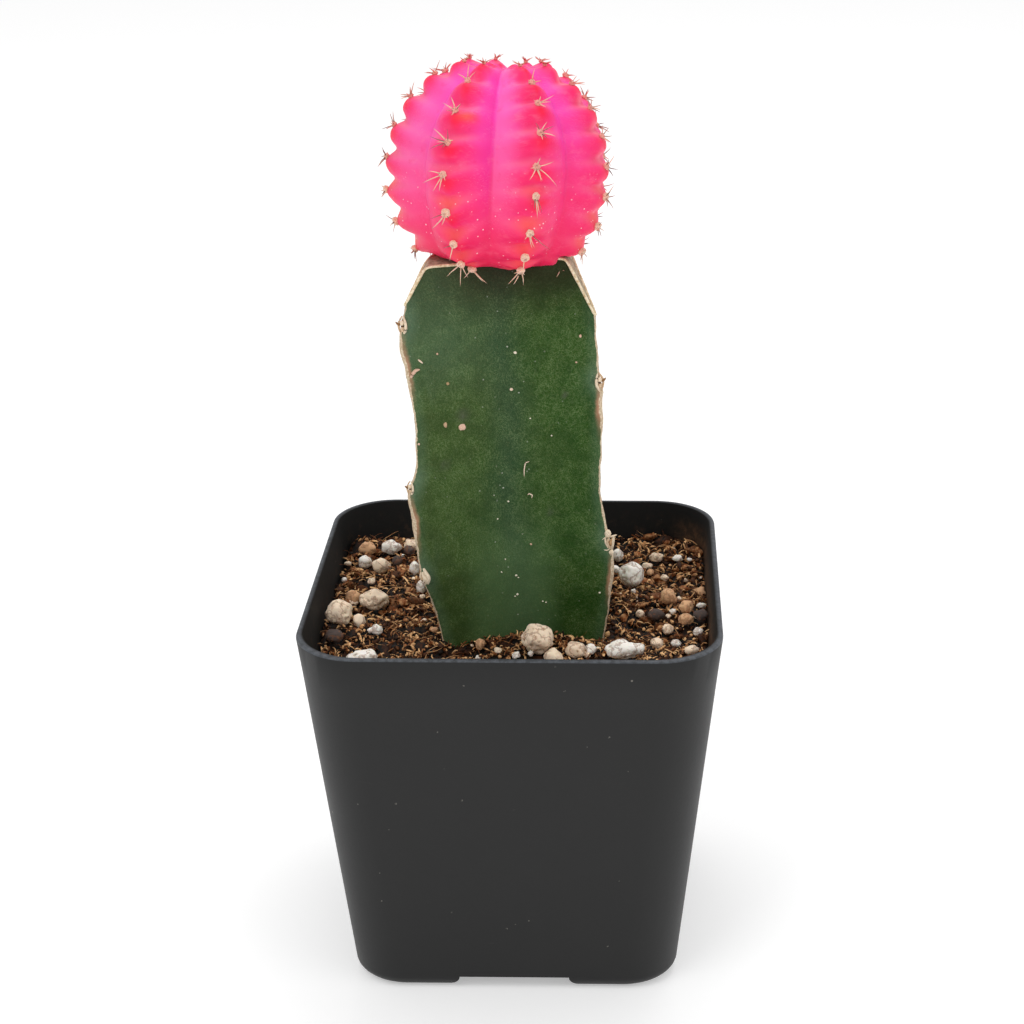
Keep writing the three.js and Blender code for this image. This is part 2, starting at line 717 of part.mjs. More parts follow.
const cactus = new THREE.Group();
cactus.add(piece('pot', toGeometry(buildPot()), COLOURS.pot, 0.6));
cactus.add(piece('potting_mix', toGeometry(buildMix()), COLOURS.mix, 0.95));
cactus.add(piece('rootstock', toGeometry(buildStem()), COLOURS.stem, 0.5));
cactus.add(piece('scion', toGeometry(buildBall()), COLOURS.ball, 0.42));
STONES.forEach((spec, index) => {
  const name = `stone_${String(index + 1).padStart(2, '0')}`;
  cactus.add(piece(name, stoneShape(spec, index, 0), spec.colour, 0.9));
});

export default cactus;
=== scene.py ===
"""Potted moon cactus: a pink ribbed ball grafted on a green stem, in a square nursery pot.

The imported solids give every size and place. Each one is replaced here by a finer piece of the same shape,
grown from the same driving sizes in millimetres, and dressed with a finish of its own. The front of the
plant faces -Y.
"""

import logging
import math
from collections.abc import Callable, Iterator, Sequence
from dataclasses import dataclass
from enum import Enum
from functools import partial
from math import copysign, cos, exp, hypot, pi, radians, sin, sqrt
from typing import Union

import bmesh
import bpy
from mathutils import Euler, Matrix, Vector, noise


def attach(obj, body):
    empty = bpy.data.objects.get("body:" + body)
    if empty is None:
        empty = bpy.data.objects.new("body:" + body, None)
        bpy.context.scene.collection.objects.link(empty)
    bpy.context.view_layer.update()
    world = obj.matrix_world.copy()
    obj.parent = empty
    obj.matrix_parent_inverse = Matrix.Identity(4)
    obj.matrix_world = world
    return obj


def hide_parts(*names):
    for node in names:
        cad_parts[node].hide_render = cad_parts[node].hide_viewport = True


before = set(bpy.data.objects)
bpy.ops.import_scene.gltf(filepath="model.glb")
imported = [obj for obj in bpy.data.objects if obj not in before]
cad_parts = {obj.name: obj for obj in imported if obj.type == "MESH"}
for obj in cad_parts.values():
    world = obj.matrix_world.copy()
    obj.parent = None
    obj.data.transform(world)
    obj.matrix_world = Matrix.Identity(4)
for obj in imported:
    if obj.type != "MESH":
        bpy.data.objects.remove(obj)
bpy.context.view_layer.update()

LOG = logging.getLogger("moon_cactus")
MM = 0.001
UP = Vector((0.0, 0.0, 1.0))
TURN = 2 * pi
Mesh = bmesh.types.BMesh
Material = bpy.types.Material
Socket = bpy.types.NodeSocket
Knots = Sequence[tuple[float, float]]
Mover = Callable[[Vector], Vector]


# Numbers


def lerp(low: float, high: float, share: float) -> float:
    """Return the value that lies at a share of the way from low to high."""
    return low + (high - low) * share


def clamp(value: float, low: float = 0.0, high: float = 1.0) -> float:
    """Return value, kept between low and high."""
    return max(low, min(high, value))


def smoothstep(value: float, low: float, high: float) -> float:
    """Return 0 below low, 1 above high, and a smooth ramp between them."""
    share = clamp((value - low) / (high - low))
    return share * share * (3 - 2 * share)


def bump(value: float, centre: float, width: float) -> float:
    """Return a smooth bump: 1 at centre, and near 0 at two widths from it."""
    return exp(-(((value - centre) / width) ** 2))


def level(angle: float) -> Vector:
    """Return the level direction at an angle in radians from +X towards +Y."""
    return Vector((cos(angle), sin(angle), 0))


def leftward(direction: Vector) -> Vector:
    """Return a level direction, turned a quarter to the left."""
    return Vector((-direction.y, direction.x, 0))


def times(spot: Vector, factors: Sequence[float]) -> Vector:
    """Return a spot with each coordinate multiplied by a factor of its own."""
    return Vector([value * factor for value, factor in zip(spot, factors)])


def through_knots(knots: Knots, x: float) -> float:
    """Join a value through knots with one smooth curve.

    Args:
        knots: Pairs of x and value, with x rising.
        x: Where the value is wanted.

    Returns:
        The value at x, held level beyond the first and the last knot.
    """
    last = len(knots) - 1
    if x <= knots[0][0]:
        return knots[0][1]
    if x >= knots[last][0]:
        return knots[last][1]
    i = next(index for index, knot in enumerate(knots) if x <= knot[0])
    (x0, y0), (x1, y1) = knots[i - 1], knots[i]
    before, after = knots[max(i - 2, 0)], knots[min(i + 1, last)]
    span = x1 - x0
    slope0 = (y1 - before[1]) / (x1 - before[0]) * span
    slope1 = (after[1] - y0) / (after[0] - x0) * span
    t = (x - x0) / span
    value = (1 + 2 * t) * (1 - t) ** 2 * y0 + t * t * (3 - 2 * t) * y1
    return value + t * (1 - t) ** 2 * slope0 - t * t * (1 - t) * slope1


class Draws:
    """A seeded stream of numbers from 0 to 1, the one that the solids' waves and chips are drawn from."""

    MASK = 0xFFFFFFFF

    def __init__(self, seed: int) -> None:
        """Start the stream of a seed, a whole number."""
        self.state = seed & self.MASK

    def share(self) -> float:
        """Return the next number from 0 to 1."""
        self.state = (self.state + 0x6D2B79F5) & self.MASK
        t = self.state
        t = ((t ^ (t >> 15)) * (t | 1)) & self.MASK
        t ^= (t + (((t ^ (t >> 7)) * (t | 61)) & self.MASK)) & self.MASK
        return ((t ^ (t >> 14)) & self.MASK) / 4294967296

    def between(self, low: float, high: float) -> float:
        """Return the next number from low to high."""
        return lerp(low, high, self.share())

    def several(self, *ranges: tuple[float, float]) -> list[float]:
        """Return one number from each of several ranges."""
        return [self.between(*pair) for pair in ranges]

    def direction(self) -> Vector:
        """Return a direction drawn evenly over the sphere."""
        height, turn = self.several((-1, 1), (0, TURN))
        ring = sqrt(max(0.0, 1 - height * height))
        return Vector((ring * cos(turn), ring * sin(turn), height))


def ripple(x: float, y: float, length: float, seed: int) -> float:
    """Return the height of five crossing waves, from about -1 to 1.

    Args:
        x: Place across, in millimetres.
        y: Place in depth, in millimetres.
        length: Typical length of a wave, in millimetres.
        seed: Chooses the waves' directions and lengths.

    Returns:
        The height, before it is scaled.
    """
    draws = Draws(seed)
    height = 0.0
    for _ in range(5):
        turn, phase = draws.several((0, TURN), (0, TURN))
        rate = (0.8 + 0.5 * draws.share()) * TURN / length
        height += sin((x * cos(turn) + y * sin(turn)) * rate + phase)
    return height / 3


def rough(point: Vector, size: float, octaves: int = 3) -> float:
    """Return fractal noise from about -1 to 1 at a point, with lumps of a size and finer layers on them."""
    return noise.fractal(point / size, 1.0, 2.1, octaves)


def ink(code: str) -> tuple[float, ...]:
    """Return a colour written as six hex digits, as the linear values that a shader takes."""
    channels = [int(code[i : i + 2], 16) / 255 for i in (0, 2, 4)]
    return tuple(c / 12.92 if c <= 0.04045 else ((c + 0.055) / 1.055) ** 2.4 for c in channels)


# Shader graphs


def operation(kind: str, turned: bool = False) -> Callable[["Value", "Number"], "Value"]:
    """Return the method that adds a Math node for a value and a number, the number first where turned."""

    def join(value: "Value", other: "Number") -> "Value":
        """Add the node."""
        return value.graph.math(kind, *((other, value) if turned else (value, other)))

    return join


class Value:
    """A number that changes over a surface. Arithmetic on it adds Math nodes."""

    def __init__(self, graph: "Graph", socket: Socket) -> None:
        """Wrap one output socket of a graph."""
        self.graph, self.socket = graph, socket

    __add__ = __radd__ = operation("ADD")
    __mul__ = __rmul__ = operation("MULTIPLY")
    __sub__ = operation("SUBTRACT")
    __rsub__ = operation("SUBTRACT", turned=True)
    __truediv__ = operation("DIVIDE")

    def step(self, low: float, high: float) -> "Value":
        """Return a ramp from 0 where self is low to 1 where it is high. It falls where low is above high."""
        if low > high:
            return 1 - self.step(high, low)
        inputs = {"Value": self, "From Min": low, "From Max": high}
        return self.graph.value("MapRange", {"interpolation_type": "SMOOTHSTEP"}, inputs, "Result")


Number = Union[Value, float]
Paint = Union[str, Socket]


class Graph:
    """The node tree of one material: a principled shader and what feeds it."""

    def __init__(self, name: str, **constants: object) -> None:
        """Start a material, with constants for the shader's sockets, whose names have _ for a blank."""
        self.material = bpy.data.materials.new(name)
        self.material.use_nodes = True
        self.tree = self.material.node_tree
        self.tree.nodes.clear()
        self.shader = self.node("BsdfPrincipled")
        output = self.node("OutputMaterial")
        self.tree.links.new(self.shader.outputs["BSDF"], output.inputs["Surface"])
        self.place = self.node("TexCoord").outputs["Object"]
        self.dress(**constants)

    def dress(self, **values: object) -> Material:
        """Feed the shader's sockets, whose names have _ for a blank, and return the material."""
        for key, value in values.items():
            self.feed(self.shader.inputs[key.replace("_", " ")], value)
        return self.material

    def feed(self, socket: Socket, value: object) -> None:
        """Link a value or an output to an input socket, or set its constant."""
        if isinstance(value, Value):
            value = value.socket
        if isinstance(value, Socket):
            self.tree.links.new(value, socket)
        elif isinstance(value, str):
            socket.default_value = (*ink(value), 1.0)
        else:
            socket.default_value = value

    def node(self, kind: str, settings: dict | None = None, inputs: dict | None = None) -> bpy.types.Node:
        """Add a node.

        Args:
            kind: The node's type, without the word that all of them start with.
            settings: Its properties, set first.
            inputs: Values or links for its input sockets, by name or number.

        Returns:
            The new node.
        """
        node = self.tree.nodes.new("ShaderNode" + kind)
        for key, value in (settings or {}).items():
            setattr(node, key, value)
        for key, value in (inputs or {}).items():
            self.feed(node.inputs[key], value)
        return node

    def value(self, kind: str, settings: dict, inputs: dict, output: str | int = 0) -> Value:
        """Return one output of a new node, described as for node()."""
        return Value(self, self.node(kind, settings, inputs).outputs[output])

    def math(self, kind: str, left: Number, right: Number) -> Value:
        """Return the result of one Math node."""
        return self.value("Math", {"operation": kind}, {0: left, 1: right})

    def attributes(self, *names: str) -> list[Value]:
        """Return values that the mesh carries at its vertices."""
        return [self.value("Attribute", {"attribute_name": name}, {}, "Fac") for name in names]

    def axes(self) -> list[Value]:
        """Return the place across, in depth and in height, in millimetres."""
        return [self.value("SeparateXYZ", {}, {"Vector": self.place}, axis) / MM for axis in "XYZ"]

    def grain(
        self, size: float, detail: float = 3.0, roughness: float = 0.55, stretch: Sequence[float] = ()
    ) -> Value:
        """Return noise from 0 to 1 in the piece's own space.

        Args:
            size: The size of its lumps, in millimetres.
            detail: How many finer layers it has.
            roughness: How strong the finer layers are.
            stretch: Factors on the lumps' size along X, Y and Z.

        Returns:
            The noise.
        """
        place = self.place
        if stretch:
            scale = [1 / factor for factor in stretch]
            place = self.node("Mapping", {}, {"Vector": place, "Scale": scale}).outputs["Vector"]
        return self.noise(place, 1 / (size * MM), detail, roughness)

    def noise(self, place: Socket, scale: float, detail: float, roughness: float) -> Value:
        """Return noise from 0 to 1 at a place, from a noise of that scale."""
        inputs = {"Vector": place, "Scale": scale, "Detail": detail, "Roughness": roughness}
        return self.value("TexNoise", {}, inputs, "Fac")

    def strokes(self, length: float, width: float, turns: Sequence[float]) -> Value:
        """Return fine strokes, 1 on a stroke and 0 between them.

        Args:
            length: How long a stroke is, in millimetres.
            width: How wide it is.
            turns: The directions that the strokes take across X and Z, in degrees.

        Returns:
            The strongest of the strokes at the place.
        """
        strongest: Value | None = None
        size = (length * MM, width * MM, width * MM)
        for turn in turns:
            inputs = {"Vector": self.place, "Rotation": (0.0, radians(turn), 0.0), "Scale": size}
            spot = self.node("Mapping", {"vector_type": "TEXTURE"}, inputs).outputs["Vector"]
            stroke = self.noise(spot, 1.0, 1.0, 0.5).step(0.56, 0.74)
            strongest = stroke if strongest is None else self.math("MAXIMUM", strongest, stroke)
        return strongest

    def cells(self, size: float) -> Value:
        """Return the distance to the nearest of many scattered points, a size in millimetres apart."""
        return self.value("TexVoronoi", {}, {"Vector": self.place, "Scale": 1 / (size * MM)}, "Distance")

    def coats(self, colour: Paint, *layers: tuple[Number, Paint]) -> Socket:
        """Return a colour with others laid over it in turn, each by a share of it."""
        for share, over in layers:
            colour = self.node("Mix", {"data_type": "RGBA"}, {0: share, 6: colour, 7: over}).outputs[2]
        return colour

    def ramp(self, share: Value, *stops: tuple[float, str]) -> Socket:
        """Return a colour from a ramp of stops."""
        node = self.node("ValToRGB", {}, {"Fac": share})
        while len(node.color_ramp.elements) < len(stops):
            node.color_ramp.elements.new(0.5)
        for element, (place, colour) in zip(node.color_ramp.elements, stops):
            element.position = place
            element.color = (*ink(colour), 1.0)
        return node.outputs["Color"]

    def finish(
        self, colour: Socket, roughness: Number, height: Value, depth: float, strength: float
    ) -> Material:
        """Link what varies over the surface to the shader.

        Args:
            colour: The colour.
            roughness: The roughness.
            height: The height of its fine relief, from 0 to 1.
            depth: The relief's full height, in millimetres.
            strength: How much of the relief shows.

        Returns:
            The material.
        """
        inputs = {"Height": height, "Distance": depth * MM, "Strength": strength}
        relief = self.node("Bump", {}, inputs).outputs["Normal"]
        return self.dress(Base_Color=colour, Roughness=roughness, Normal=relief)


# Meshes


def show(name: str, data: object) -> bpy.types.Object:
    """Put a mesh, lamp or camera in the scene as an object of that name."""
    item = bpy.data.objects.new(name, data)
    bpy.context.scene.collection.objects.link(item)
    return item


def mesh_data(name: str, mesh: Mesh) -> bpy.types.Mesh:
    """Turn a mesh that is used up into mesh data."""
    data = bpy.data.meshes.new(name)
    mesh.to_mesh(data)
    mesh.free()
    return data


def publish(
    name: str,
    mesh: Mesh,
    finishes: Sequence[Material],
    stands_for: Sequence[str] = (),
    crease: float = 180.0,
) -> None:
    """Turn a mesh in millimetres into a finished piece of the plant, which rides on the root body.

    Args:
        name: The piece's name.
        mesh: Its shape, in millimetres, which is used up.
        finishes: Its materials, in the order of its faces' material numbers.
        stands_for: The CAD nodes that it replaces.
        crease: Edges that turn by more than this, in degrees, are kept sharp.
    """
    mesh.transform(Matrix.Scale(MM, 4))
    data = mesh_data(name, mesh)
    data.shade_smooth()
    if crease < 180:
        data.set_sharp_from_angle(angle=radians(crease))
    for finish in finishes:
        data.materials.append(finish)
    piece = show(name, data)
    if stands_for:
        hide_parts(*stands_for)
    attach(piece, "root")
    LOG.info("%s: %d faces", name, len(data.polygons))


def sheet(mesh: Mesh, along: int, around: int) -> Iterator[tuple[bmesh.types.BMVert, float, float]]:
    """Add a grid, and yield each of its points with its share of the length and of the way around."""
    grid = bmesh.ops.create_grid(mesh, x_segments=along, y_segments=around, size=0.5)
    for point in grid["verts"]:
        yield point, clamp(point.co.x + 0.5), clamp(point.co.y + 0.5)


def block(axis: int, cuts: int) -> Mesh:
    """Return a unit block whose edges along one axis are cut a number of times."""
    mesh = bmesh.new()
    bmesh.ops.create_cube(mesh, size=1)
    ends = ((edge, edge.verts[0].co - edge.verts[1].co) for edge in mesh.edges)
    long_edges = [edge for edge, run in ends if abs(run[axis]) > 0.5]
    bmesh.ops.subdivide_edges(mesh, edges=long_edges, cuts=cuts, use_grid_fill=True)
    return mesh


def tidy(mesh: Mesh, reach: float = 1e-4) -> None:
    """Merge the points that meet at seams and poles, and turn all faces outwards."""
    bmesh.ops.remove_doubles(mesh, verts=mesh.verts, dist=reach)
    bmesh.ops.dissolve_degenerate(mesh, dist=reach, edges=mesh.edges)
    bmesh.ops.recalc_face_normals(mesh, faces=mesh.faces)


class Stamp:
    """A small mesh that is pressed many times into a larger one, each time in another shape."""

    def __init__(self, mesh: Mesh) -> None:
        """Keep the small mesh, which is used up."""
        self.data = mesh_data("stamp", mesh)
        self.spots = [vertex.co.copy() for vertex in self.data.vertices]

    def press(self, mesh: Mesh, move: Mover, **values: Union[float, Callable[[Vector], float]]) -> None:
        """Add one copy to a mesh.

        Args:
            mesh: The mesh that it is added to.
            move: Gives a point's place in the mesh from its place in the stamp.
            values: A value, or a formula for it, for each layer that the points carry.
        """
        places = [number for spot in self.spots for number in move(spot)]
        self.data.vertices.foreach_set("co", places)
        for name, value in values.items():
            layer = self.data.attributes.get(name) or self.data.attributes.new(name, "FLOAT", "POINT")
            numbers = [value(spot) if callable(value) else value for spot in self.spots]
            layer.data.foreach_set("value", numbers)
        mesh.from_mesh(self.data, face_normals=False, vertex_normals=False)


def strip_stamp(along: int, around: int) -> Stamp:
    """Return a stamp whose points hold a share of a tube's length in x, and of its way around in y."""
    mesh = bmesh.new()
    for point, share, turn in sheet(mesh, along, around):
        point.co = (share, turn, 0)
    return Stamp(mesh)


def ball_stamp(subdivisions: int) -> Stamp:
    """Return a stamp of a unit ball."""
    mesh = bmesh.new()
    bmesh.ops.create_icosphere(mesh, subdivisions=subdivisions, radius=1)
    return Stamp(mesh)


def along_cord(path: Callable[[float], Vector], radius: Callable[[float], float]) -> Mover:
    """Return the mover that rolls a strip stamp into a tube along a path.

    Args:
        path: Gives a point of the tube's middle line from the share of its length.
        radius: Gives its radius there.

    Returns:
        The mover.
    """

    def move(spot: Vector) -> Vector:
        """Return the tube's point for a spot of the strip."""
        share, angle = spot.x, spot.y * TURN
        heading = (path(min(1.0, share + 0.04)) - path(max(0.0, share - 0.04))).normalized()
        side = heading.cross(UP if abs(heading.z) < 0.9 else Vector((1, 0, 0))).normalized()
        other = heading.cross(side).normalized()
        return path(share) + (side * cos(angle) + other * sin(angle)) * radius(share)

    return move


# Stem's form


@dataclass(frozen=True)
class StemRib:
    """One rib of the stem.

    Attributes:
        angle: The way it points, in degrees from +X towards +Y.
        reach: Its edge's distance from the axis, at heights above the foot.
        areoles: The height and size of each of its areoles.
        bevel_facing: The level direction that the cut that takes its top corner off faces, in degrees.
        bevel_start: How far out that cut starts on the cut top.
        bevel_degrees: The angle of that cut to the axis.
    """

    angle: float
    reach: Knots
    areoles: Sequence[tuple[float, float]]
    bevel_facing: float
    bevel_start: float
    bevel_degrees: float

    @property
    def outward(self) -> Vector:
        """Return the level direction that the rib points to."""
        return level(radians(self.angle))

    @property
    def bevel_outward(self) -> Vector:
        """Return the level direction that the bevel faces."""
        return level(radians(self.bevel_facing))


# The stem's section has 24 corners, 8 from each rib's shoulder to the next.
CORNERS = 24
PER_RIB = 8

# How far each rib's edge stands from the axis, by the height above the foot.
LEFT_REACH = (
    *((0, 15), (7, 16.4), (13, 18), (22, 18.9), (26.5, 19.3), (30, 17.6)),
    *((35, 17.1), (41, 17.4), (48, 18.4), (52, 18.4), (56, 17.3), (61.5, 16.9)),
)
RIGHT_REACH = (
    *((0, 14.2), (6, 15.5), (13, 16.5), (20, 15.1), (25, 14.75)),
    *((31, 15.1), (40, 15.8), (44, 15.3), (61.5, 15.1)),
)
BACK_REACH = ((0, 14.6), (9, 16.4), (16, 15.4), (26, 17.2), (32, 15.9), (43, 17.4), (50, 16.3), (61.5, 16.2))


@dataclass
class StemShape:
    """The green stem's form, in its own frame: x and y across, and h up along its axis from the foot."""

    foot: tuple[float, float, float] = (1.4, -2.5, 54.5)
    lean_degrees: float = 2.4
    height: float = 61.8
    buried: float = 25.0
    buried_taper: float = 0.2
    blunt_end: float = 0.25
    edge_half: float = 0.55
    edge_drop: float = 0.3
    shoulder_depth: float = 2.4
    shoulder_half: float = 1.45
    hollow: float = 0.6
    furrow: float = 1.0
    halvings: int = 24
    ribs: Sequence[StemRib] = (
        StemRib(214, LEFT_REACH, ((13, 1.2), (27.5, 0.9), (53.3, 1.1)), 180, 11, 31),
        StemRib(334, RIGHT_REACH, ((16, 0.98), (42.3, 1.1)), 356, 10.1, 24),
        StemRib(94, BACK_REACH, ((9, 1), (26, 0.9), (43, 0.9)), 94, 12, 31),
    )

    def __post_init__(self) -> None:
        """Work out where the stem stands."""
        self.placement = Matrix.Translation(self.foot) @ Matrix.Rotation(-radians(self.lean_degrees), 4, "Y")
        self.back_to_local = self.placement.inverted()
        self.sections: dict[float, list[Vector]] = {}

    def corner(self, k: int, h: float) -> Vector:
        """Return corner k of those round the section at height h."""
        number, role = divmod(k, PER_RIB)
        here, following = self.ribs[number], self.ribs[(number + 1) % len(self.ribs)]
        below = clamp(-h / self.buried)
        taper = 1 - self.buried_taper * below - self.blunt_end * below**6
        shoulder = self.shoulder_half * taper

        def at(rib: StemRib, inset: float, side: float) -> Vector:
            """Return a point a little inside a rib's edge and to one side of its middle."""
            return rib.outward * (through_knots(rib.reach, h) * taper - inset) + leftward(rib.outward) * side

        if role == 0:
            return at(here, self.shoulder_depth, -shoulder)
        if role < 4:
            return at(here, 0 if role == 2 else self.edge_drop, self.edge_half * (role - 2))
        start = at(here, self.shoulder_depth, shoulder)
        end = at(following, self.shoulder_depth, -shoulder)
        share = (role - 4) / 4
        depth = self.furrow if share == 0.5 else self.hollow * sin(pi * share)
        point = start.lerp(end, share)
        return point - point.normalized() * depth * taper

    def section(self, h: float) -> list[Vector]:
        """Return the corners of the section at height h."""
        key = round(h, 4)
        if key not in self.sections:
            self.sections[key] = [self.corner(k, h) for k in range(CORNERS)]
        return self.sections[key]

    def surface(self, k: float, h: float) -> Vector:
        """Return the point at k corners round the section at height h, with the corners rounded."""
        corners = self.section(h)
        first = math.floor(k)
        t = k - first
        a, b, c, d = (corners[(first + i) % CORNERS] for i in (-1, 0, 1, 2))
        bend = (a * -1 + b * 3 - c * 3 + d) * t**3 + (a * 2 - b * 5 + c * 4 - d) * t * t
        point = b + (bend + (c - a) * t) / 2
        return Vector((point.x, point.y, h))

    def roof(self, x: float, y: float) -> float:
        """Return the height of the cut top and its bevels at a place."""
        height = self.height
        for rib in self.ribs:
            beyond = rib.bevel_outward.x * x + rib.bevel_outward.y * y - rib.bevel_start
            height = min(height, self.height - beyond / math.tan(radians(rib.bevel_degrees)))
        return height

    def reach_towards(self, x: float, y: float, h: float) -> float:
        """Return how far the section at height h reaches in the direction of a place."""
        corners = self.section(h)
        heading = Vector((x, y)).normalized()
        reach = 0.0
        for a, b in zip(corners, corners[1:] + corners[:1]):
            side_a, side_b = (heading.x * corner.y - heading.y * corner.x for corner in (a, b))
            if side_a * side_b <= 0 and side_a != side_b:
                crossing = a.lerp(b, side_a / (side_a - side_b))
                reach = max(reach, crossing.x * heading.x + crossing.y * heading.y)
        return reach

    def front_spot(self, x: float, h: float) -> tuple[Vector, Vector, Vector]:
        """Return a place on the front face.

        Args:
            x: How far to the right of the axis it lies.
            h: Its height above the foot.

        Returns:
            The point, the way the skin faces there, and the direction to the right along the skin.
        """
        low, high = 2.0, 2.0 + PER_RIB
        for _ in range(self.halvings):
            middle = (low + high) / 2
            low, high = (middle, high) if self.surface(middle, h).x < x else (low, middle)
        along = (self.surface(low + 0.1, h) - self.surface(low - 0.1, h)).normalized()
        return self.surface(low, h), along.cross(UP).normalized(), along


# Ball


@dataclass(frozen=True)
class BallRib:
    """One rib of the ball.

    Attributes:
        crest: The azimuth of its crest, in degrees from the front towards +X.
        groove: The azimuth of the groove after it.
        first: The latitude of its highest full areole, in degrees.
        pitch: The step in latitude down to the next.
        bulk: How much fuller than the rest it is, in millimetres.
        shifts: How far each areole lies off that even step, as latitude and azimuth.
        ridge: How strongly a painted highlight lines its crest, from 0 to 1.
    """

    crest: float
    groove: float
    first: float
    pitch: float
    bulk: float
    shifts: Sequence[tuple[float, float]] = ()
    ridge: float = 0.12


@dataclass(frozen=True)
class Place:
    """A place on the ball, by its rib.

    Attributes:
        azimuth: In radians from the front towards +X.
        latitude: In degrees.
        off: 0 on the rib's crest and 1 in the groove.
        within: The share of the way from one areole down to the next.
        lower: 0 on the upper half and 1 on the lower.
        bulk: How much fuller than the rest the rib is.
        ridge: How strongly a painted highlight lines its crest.
    """

    azimuth: float
    latitude: float
    off: float
    within: float
    lower: float
    bulk: float
    ridge: float


# How far the areoles of the two front ribs lie off their even steps.
FRONT_LEFT = (
    *((0, -1.8), (-1.9, -0.7), (-1.6, -0.6), (-0.7, -1)),
    *((-2.6, 0.7), (-3.1, 2), (-0.7, 2.2), (4, 4.3)),
)
FRONT_RIGHT = (
    *((-0.4, 3.7), (1.9, 2.8), (1.6, 1.2), (0.6, -1.4)),
    *((1.8, -1.2), (-1.5, -1.8), (-0.7, -1), (2.3, 1.5)),
)


